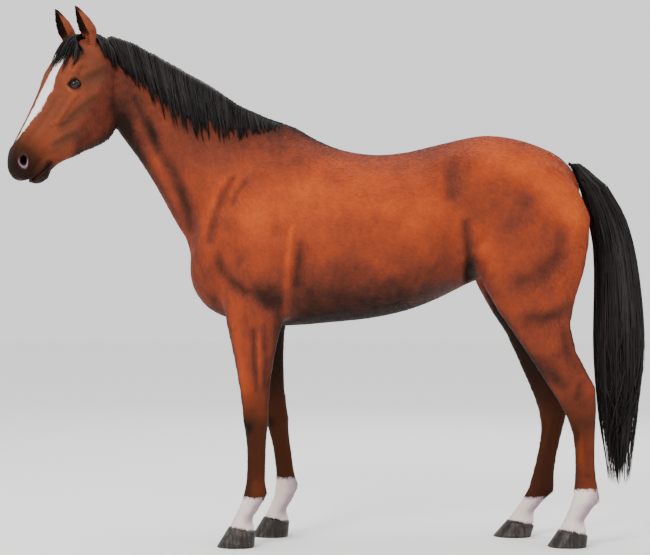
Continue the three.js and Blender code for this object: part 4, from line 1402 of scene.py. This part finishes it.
def strandRings(paths, sides, tops, halfWidth, halfThick):
    # Three points round each step of a strand: left, right and the ridge on top.
    left = paths - sides * halfWidth[..., None] - tops * (halfThick * 0.4)[..., None]
    right = paths + sides * halfWidth[..., None] - tops * (halfThick * 0.4)[..., None]
    ridge = paths + tops * halfThick[..., None]
    return np.stack([left, right, ridge], axis=2)


def worldStrands(paths, out):
    # Paths and facings on the standing horse, from those on the straightened one.
    world = placed(paths).reshape(paths.shape)
    return world, placed(paths + out * 0.002).reshape(paths.shape) - world


def makeStrands(name, paths, out, look, rng, tone, cell):
    # Strands along paths of points, flat side towards out. Each has its own strip on the OFBake map.
    count, steps, _ = paths.shape
    width = look["width"] * rng.uniform(0.7, 1.2, count)
    thickness = look["thickness"] * rng.uniform(0.8, 1.2, count)
    ahead = unit(np.gradient(paths, axis=1))
    sides = unit(np.cross(out, ahead))
    tops = np.cross(ahead, sides)
    share = np.linspace(0, 1, steps)
    taper = (0.75 + 0.5 * np.sin(math.pi * np.minimum(share * 1.3, 1) * 0.9)) * (1 - share**3 * 0.75)
    half = width[:, None] / 2 * taper
    thick = thickness[:, None] / 2 * taper
    rings = strandRings(paths[:, :-1], sides[:, :-1], tops[:, :-1], half[:, :-1], thick[:, :-1])
    columns = int(math.ceil(math.sqrt(count * cell)))
    rows = int(math.ceil(count / columns))
    index = np.arange(count)
    patch = np.column_stack([(index % columns) / columns, (index // columns) / rows])
    size = (0.85 / columns, 0.92 / rows)
    piece = makeHairs(name, rings, paths[:, -1], patch, size, {"tone": tone})
    piece.data.materials.append(hairFinish)
    print(" ", name, count * ((steps - 1) * 6 - 2), "triangles")
    return piece


hairFinish = longHair()
straightTree = treeOf(straightened(coordsOf(body)), body)


def skinFrom(origin, direction):
    # First point of the straightened skin along a ray, with its normal turned against the ray.
    place, normal, _, _ = straightTree.ray_cast(Vector(origin), Vector(direction))
    if place is None:
        return None, None
    normal = np.array(normal)
    return np.array(place), normal if normal @ np.array(direction) < 0 else -normal


mane = {
    "from": -0.957,  # behind the poll
    "to": -0.188,  # on the withers
    "fall": [0.092, 0.146, 0.212, 0.264, 0.275, 0.202, 0.152, 0.086, 0.020],  # how far it hangs, from poll on
    "highest": 0.006,  # how far down the neck's side the places are known, from here
    "lowest": 0.34,  # to here
    "bow": 0.009,  # how much higher it stands over the crest, except on the withers
    "leanFrom": 0.30,  # how far it slants back as it falls, at the poll,
    "leanTo": 0.12,  # and at the withers
    "clumps": 82,
    "strands": 30,
    "width": 0.0042,
    "thickness": 0.0018,
    "wave": 0.0035,  # how much each strand wavers, as a share of the crest's length,
    "rootSpread": 0.0085,  # how wide a clump is at its roots,
    "tipSpread": 0.0017,  # and at its tips
    "bedShare": 0.66,  # how far the closed mass inside hangs, as a share of the fall,
    "bedThickness": 0.0065,
    "seed": 11,
}


def crestTable(steps, levels):
    # Places and normals of the left side of the neck: along the crest, and down from it.
    places = np.zeros((steps, levels, 3))
    normals = np.zeros((steps, levels, 3))
    tops = np.zeros(steps)
    for i, t in enumerate(np.linspace(0, 1, steps)):
        x = mane["from"] + (mane["to"] - mane["from"]) * t
        lean = mane["leanFrom"] + (mane["leanTo"] - mane["leanFrom"]) * t
        top, _ = skinFrom((x, 0.0005, 3), (0, 0, -1))
        tops[i] = top[2]
        for j, down in enumerate(np.linspace(mane["highest"], mane["lowest"], levels)):
            place, normal = skinFrom((x + lean * down, -1.0, top[2] - down), (0, 1, 0))
            places[i, j], normals[i, j] = place, normal
    return places, normals, tops


def lookUp(table, t, s):
    steps, levels = table.shape[:2]
    a = np.clip(t, 0, 1) * (steps - 1)
    b = np.clip(s, 0, 1) * (levels - 1)
    i, j = np.minimum(a.astype(int), steps - 2), np.minimum(b.astype(int), levels - 2)
    f, g = (a - i)[..., None], (b - j)[..., None]
    low = table[i, j] * (1 - g) + table[i, j + 1] * g
    high = table[i + 1, j] * (1 - g) + table[i + 1, j + 1] * g
    return low * (1 - f) + high * f


def onNeck(table, t, down):
    # What the table holds so far along the crest, as a share, and so many metres down from it.
    return lookUp(table, t, (down - mane["highest"]) / (mane["lowest"] - mane["highest"]))


def fallAt(t):
    return np.interp(t, np.linspace(0, 1, len(mane["fall"])), mane["fall"])


def crestAt(t):
    return np.interp(t, np.linspace(0, 1, len(crestTops)), crestTops)


def bowAt(t):
    return mane["bow"] * smoothstep(0.78, 0.60, t)


crestPlaces, crestNormals, crestTops = crestTable(70, 24)


def makeMane():
    rng = np.random.default_rng(mane["seed"])
    clumps, each = mane["clumps"], mane["strands"]
    count = clumps * each
    clumpT = (np.arange(clumps) + rng.uniform(0.1, 0.9, clumps)) / clumps
    clumpLength = fallAt(clumpT) * rng.uniform(0.78, 1.12, clumps)
    clumpTip = clumpT + rng.normal(0.004, 0.010, clumps)
    within = rng.normal(0, 1, count)
    rootT = np.repeat(clumpT, each) + within * mane["rootSpread"]
    tipT = np.repeat(clumpTip, each) + within * mane["tipSpread"]
    length = np.repeat(clumpLength, each) * (1 - 0.13 * np.abs(within)) * rng.uniform(0.86, 1.03, count)
    depth = rng.random(count)  # 0 lies on the skin and 1 on top
    # the first two points of each strand are its root, on either side of the crest, and its bow over it
    share = np.concatenate([[0, 0], np.linspace(0.07, 1, 9)])
    gather = share**1.4
    t = rootT[:, None] * (1 - gather) + tipT[:, None] * gather
    wave = np.sin(share * rng.uniform(3, 8, count)[:, None] + rng.uniform(0, 6, count)[:, None])
    t = t + mane["wave"] * wave * share
    down = length[:, None] * share**1.12
    at, out = onNeck(crestPlaces, t, down), unit(onNeck(crestNormals, t, down))
    ending = 1 - 0.80 * smoothstep(0.84, 1.0, t)  # the hair thins out on the withers
    stand = (0.004 + 0.013 * depth)[:, None] * (1 - 0.45 * share) * ending
    paths = at + out * stand[..., None]
    crestZ = crestAt(t[:, 0])
    rootY = rng.uniform(-0.006, 0.019, count)
    sunk = 0.004 + np.maximum(rootY - 0.006, 0) * 0.5
    bow = (0.001 + 0.009 * depth) * ending[:, 1] + bowAt(t[:, 1])
    paths[:, 0] = np.column_stack([at[:, 0, 0], rootY, crestZ - sunk])
    paths[:, 1] = np.column_stack([at[:, 1, 0], rootY * 0.5 - 0.003, crestZ + bow])
    paths[:, 2, 2] = np.maximum(paths[:, 2, 2], crestZ + bow * 0.6 - down[:, 2] * 0.8)
    paths[:, 2, 1] = np.minimum(paths[:, 2, 1], -0.008)
    out[:, 0] = np.column_stack([np.zeros(count), np.clip(rootY * 40, -0.5, 0.8), np.ones(count)])
    out[:, 1] = [0, -0.2, 0.98]
    out[:, 2] = out[:, 2] * 0.5 + np.array([0, -0.4, 0.8]) * 0.5
    tone = np.clip(np.repeat(rng.random(clumps), each) * 0.45 + rng.random(count) * 0.55, 0, 1)
    return makeStrands("maneHair", *worldStrands(paths, out), mane, rng, tone, 5)


forelock = {
    "from": -0.015,
    "reach": 0.218,
    "rootSpread": 0.046,  # half the width that it grows from, between the ears,
    "tipSpread": 0.080,  # and that its tips spread to
    "lean": -0.050,  # how far the tips lie over to the left
    "forehead": 0.078,  # how round the forehead is under it,
    "leastTurn": 0.52,  # how far round it the hair may lie between the ears, in radians,
    "mostTurn": 1.10,  # and below them
    "clumps": 30,
    "strands": 20,
    "width": 0.0034,
    "thickness": 0.0016,
    "seed": 21,
}


def makeForelock():
    # From the poll between the ears down the forehead, most of it a little to the left.
    rng = np.random.default_rng(forelock["seed"])
    clumps, each = forelock["clumps"], forelock["strands"]
    count = clumps * each
    steps = 9
    share = np.linspace(0, 1, steps)
    clumpSide = np.linspace(-1, 1, clumps) + rng.normal(0, 0.06, clumps)
    shorter = 0.14 * clumpSide**2 + 0.16 * (clumpSide < -0.5)
    clumpLength = forelock["reach"] * rng.uniform(0.62, 1.05, clumps) * (1 - shorter)
    side = np.repeat(clumpSide, each)
    spread = rng.normal(0, 1, count)
    rootSide = side * forelock["rootSpread"] + spread * 0.004 - 0.008
    tipSide = side * forelock["tipSpread"] + spread * 0.0019 + forelock["lean"]
    length = np.repeat(clumpLength, each) * (1 - 0.10 * np.abs(spread)) * rng.uniform(0.85, 1.02, count)
    depth = rng.random(count)
    paths = np.zeros((count, steps, 3))
    outs = np.zeros((count, steps, 3))
    for i in range(count):
        for j, s in enumerate(share):
            along = forelock["from"] + length[i] * s
            across = rootSide[i] + (tipSide[i] - rootSide[i]) * s**0.8 + 0.002 * math.sin(side[i] * 9 + 5 * s)
            turnRange = forelock["mostTurn"] - forelock["leastTurn"]
            most = forelock["leastTurn"] + turnRange * smoothstep(0.030, 0.095, along)
            turn = min(max(across / forelock["forehead"], -most), most)
            # its place is looked for from straight above between the ears, and from further round below them
            wrap = smoothstep(0.02, 0.08, along)
            flat = turn * forelock["forehead"] * (1 - wrap)
            within = fromHead(along, flat, -forelock["forehead"])
            aside = flat + 0.3 * math.sin(turn) * wrap
            above = fromHead(along, aside, 0.2 + (0.3 * math.cos(turn) - 0.285) * wrap)
            place, normal = skinFrom(above, within - above)
            arch = 0.004 + 0.020 * depth[i] * math.sin(math.pi * min(1, s * 0.9 + 0.1))
            paths[i, j] = place + normal * (arch if s > 0 else -0.002)
            outs[i, j] = normal
    tone = np.clip(np.repeat(rng.random(clumps), each) * 0.4 + rng.random(count) * 0.6, 0, 1)
    return makeStrands("forelockHair", *worldStrands(paths, outs), forelock, rng, tone, 5)


tail = {
    "lowestRoot": 1.16,  # height down to which the strands are rooted
    "innermost": 0.62,  # how far out in the tail the strands lie, as a share of its half width
    "outermost": 0.98,
    "gather": 0.70,  # how far each is drawn to its lock at the tips
    "strands": 2500,
    "locks": 34,
    "width": 0.0062,
    "thickness": 0.0026,
    "shortest": 0.52,  # height of the highest tips
    "bedEnds": 0.58,  # height where the closed mass inside ends,
    "bedInset": 0.014,  # and how far it lies inside the outline
    "bedVoxel": 0.008,
    "seed": 31,
}


def tailEnvelope():
    # Middle and half sizes of the tail's solid, level by level from its top.
    solid = remeshed(["tail"], "tailBed", tail["bedVoxel"])
    smoothSkin(solid, 12)
    co = coordsOf(solid)
    levels = np.linspace(co[:, 2].max() - 0.012, co[:, 2].min() + 0.004, 70)
    rows = []
    for z in levels:
        near = co[np.abs(co[:, 2] - z) < 0.010]
        low, high = near.min(0), near.max(0)
        rows.append([z, *(low + high)[:2] / 2, *(high - low)[:2] / 2])
    rows = np.array(rows)
    even = rows.copy()
    for k in range(len(rows)):
        reach = min(8, k) if k < 30 else 8
        even[k, 1:] = rows[max(0, k - reach):k + reach + 1, 1:].mean(0)
    even[:, 3:] = np.minimum(even[:, 3:], rows[:, 3:] * 1.6 + 0.004)
    return solid, even


def makeTail():
    rng = np.random.default_rng(tail["seed"])
    bed, rows = tailEnvelope()
    levels = rows[:, 0]
    top, bottom = levels[0], levels[-1]
    count = tail["strands"]
    angle = rng.uniform(0, 2 * math.pi, count)
    rim = tail["innermost"] + (tail["outermost"] - tail["innermost"]) * np.sqrt(rng.random(count))
    rootZ = top - (top - tail["lowestRoot"]) * rng.random(count) ** 1.4
    lock = rng.integers(0, tail["locks"], count)
    lockAngle = np.linspace(0, 2 * math.pi, tail["locks"], endpoint=False)
    lockAngle += rng.uniform(-0.1, 0.1, tail["locks"])
    lockRim = rng.uniform(0.25, 0.95, tail["locks"])
    lockZ = bottom + (tail["shortest"] - bottom) * rng.random(tail["locks"]) ** 1.7
    nearest = np.abs((angle[:, None] - lockAngle[None] + math.pi) % (2 * math.pi) - math.pi)
    lock = np.where(rng.random(count) < 0.75, nearest.argmin(1), lock)
    tipZ = lockZ[lock] + rng.exponential(0.035, count)
    steps = 13
    share = np.linspace(0, 1, steps)
    z = rootZ[:, None] + (tipZ - rootZ)[:, None] * share
    cx, cy, hx, hy = [np.interp(-z, -levels, rows[:, k]) for k in (1, 2, 3, 4)]
    gather = smoothstep(0.50, 1.0, share)
    wave = 0.05 * np.sin(share * rng.uniform(4, 9, count)[:, None] + rng.uniform(0, 6, count)[:, None])
    swing = angle[:, None] + wave
    toLock = (lockAngle[lock][:, None] - swing + math.pi) % (2 * math.pi) - math.pi
    swing = swing + gather * toLock * tail["gather"]
    rho = rim[:, None] * (1 - gather) + lockRim[lock][:, None] * gather
    rho = rho * smoothstep(-0.10, 0.14, share) ** 0.5
    x = cx + rho * hx * np.cos(swing)
    y = cy + rho * hy * np.sin(swing)
    paths = np.stack([x, y, z], axis=2)
    out = np.stack([np.cos(swing), np.sin(swing) * 1.1, np.full_like(swing, 0.15)], axis=2)
    tone = np.clip(rng.random(tail["locks"])[lock] * 0.35 + rng.random(count) * 0.68, 0, 1)
    return bed, makeStrands("tailHair", paths, out, tail, rng, tone, 10)


def makeManeBed():
    # The closed mass of hair inside the mane: a thin mantle over the crest that ends well above the tips.
    rng = np.random.default_rng(mane["seed"] + 1)
    count, levels = 160, 12
    t = np.linspace(0, 1, count)
    fall = fallAt(t) * mane["bedShare"] * (1 + 0.05 * np.sin(t * 60) + 0.05 * rng.random(count))
    down = fall[:, None] * np.linspace(0.03, 1, levels)
    across = np.repeat(t[:, None], levels, axis=1)
    at, out = onNeck(crestPlaces, across, down), onNeck(crestNormals, across, down)
    ending = 1 - smoothstep(0.80, 1.0, t)
    thickness = np.outer(mane["bedThickness"] * ending, 1 - 0.75 * np.linspace(0, 1, levels) ** 2)
    outer = at + out * thickness[..., None]
    inner = at - out * 0.004
    x = mane["from"] + (mane["to"] - mane["from"]) * t
    ridge = ((0.012, -0.010, 0), (0.008, -0.003, 0.001), (0.000, -0.002, 0.003))
    height = crestAt(t) + 0.6 * bowAt(t)
    over = [np.column_stack([x, np.full(count, y), height + z + rise * ending]) for y, z, rise in ridge]
    rings = np.concatenate([np.stack(over, axis=1), outer, inner[:, ::-1]], axis=1)
    around = rings.shape[1]
    ring = np.arange(around)
    corners = np.concatenate([*tubeFaces(count, around), ring[::-1], (count - 1) * around + ring])
    sizes = np.concatenate([np.full(around * (count - 1), 4), [around, around]])
    return meshFromArrays("maneBed", placed(rings.reshape(-1, 3)), corners, sizes)


def finishBed(bed, inset):
    # The closed mass of hair inside, which the strands lie on.
    setCoords(bed, coordsOf(bed) - normalsOf(bed) * inset)
    addNumber(bed, "tone", np.full(len(bed.data.vertices), 0.10))
    addNumber(bed, "tip", np.zeros(len(bed.data.vertices)))
    bed.data.materials.clear()
    bed.data.materials.append(hairFinish)


maneHair = makeMane()
maneBed = makeManeBed()
finishBed(maneBed, 0)
forelockHair = makeForelock()
tailBed, tailHair = makeTail()
openInEdit(tailBed)
bpy.ops.mesh.bisect(plane_co=(0, 0, tail["bedEnds"]), plane_no=(0, 0, 1), clear_inner=True, use_fill=True)
bpy.ops.object.mode_set(mode="OBJECT")
finishBed(tailBed, tail["bedInset"])
print("long hair made")


def makeEye(side):
    centre, look, back, _ = eyeAxes(side)
    deselectAll()
    bpy.ops.mesh.primitive_uv_sphere_add(segments=48, ring_count=32, radius=eye["radius"], location=(0, 0, 0))
    ball = bpy.context.object
    ball.name = ball.data.name = f"eyeball_{side}"
    co = coordsOf(ball)
    angle = np.arccos(np.clip(co[:, 2] / eye["radius"], -1, 1))
    bulge = 1 + eye["cornea"] * smoothstep(0.62, 0.0, angle)
    pupil = np.hypot(co[:, 0] / eye["pupilHalfLength"], co[:, 1] / eye["pupilHalfHeight"])
    pupil += (co[:, 2] < 0) * 9
    turn = np.column_stack([back, np.cross(look, back), look])
    setCoords(ball, (co * bulge[:, None]) @ turn.T + centre)
    addNumber(ball, "gaze", angle / 0.80)
    addNumber(ball, "pupil", pupil)
    ball.data.materials.append(eyeFinish)
    makeActive(ball)
    bpy.ops.object.shade_smooth()
    return ball


hoof = {
    "voxel": 0.0036,
    "ringGap": 0.0085,
    "ringHeight": 0.0006,
    "ringSlope": 0.30,  # the rings fall towards the heel, along the coronet
    "cleft": 0.012,  # how deep it is between the bulbs of the heel
}


def makeHoof(leg):
    piece = remeshed([f"hoof_{leg}"], f"hoofWall_{leg}", hoof["voxel"])
    ground = smoothstep(0.002, 0.012, coordsOf(piece)[:, 2])
    smoothSkin(piece, 14, 0.25 + 0.75 * ground)
    co, normal = coordsOf(piece), normalsOf(piece)
    low, high = co.min(0), co.max(0)
    level = co[:, 2] + hoof["ringSlope"] * (co[:, 0] - low[0])
    wall = smoothstep(0.75, 0.35, np.abs(normal[:, 2])) * smoothstep(0.004, 0.012, co[:, 2])
    rings = np.sin(level / hoof["ringGap"] * 2 * math.pi + 1.3 * np.sin(level * 90))
    co += normal * (hoof["ringHeight"] * rings * wall)[:, None]
    cleft = smoothstep(high[0] - 0.045, high[0] - 0.005, co[:, 0])
    middleY = (low[1] + high[1]) / 2
    co[:, 0] -= hoof["cleft"] * cleft * bell(co[:, 1] - middleY, 0.010)
    co[:, 2] = np.maximum(np.where(co[:, 2] < 0.0035, 0, co[:, 2]), 0)
    setCoords(piece, co)
    piece.data.materials.clear()
    piece.data.materials.append(hoofFinish)
    return piece


eyeFinish = wetEye()
hoofFinish = keratinHoof()
eyeballs = {side: makeEye(side) for side in ("left", "right")}
hooves = {leg: makeHoof(leg) for leg in legNames}
print("eyes and hooves made")

# what stands for which solid
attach(body, "root")
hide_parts(*fleshNames)
for piece in coatPieces:
    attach(piece, "root")
for piece, node in ((maneBed, "mane"), (forelockHair, "forelock"), (tailBed, "tail")):
    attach(piece, "root")
    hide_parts(node)
for piece in (maneHair, tailHair):
    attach(piece, "root")
for side, ball in eyeballs.items():
    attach(ball, "root")
    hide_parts(f"eye_{side}")
for leg, piece in hooves.items():
    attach(piece, "root")
    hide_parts(f"hoof_{leg}")
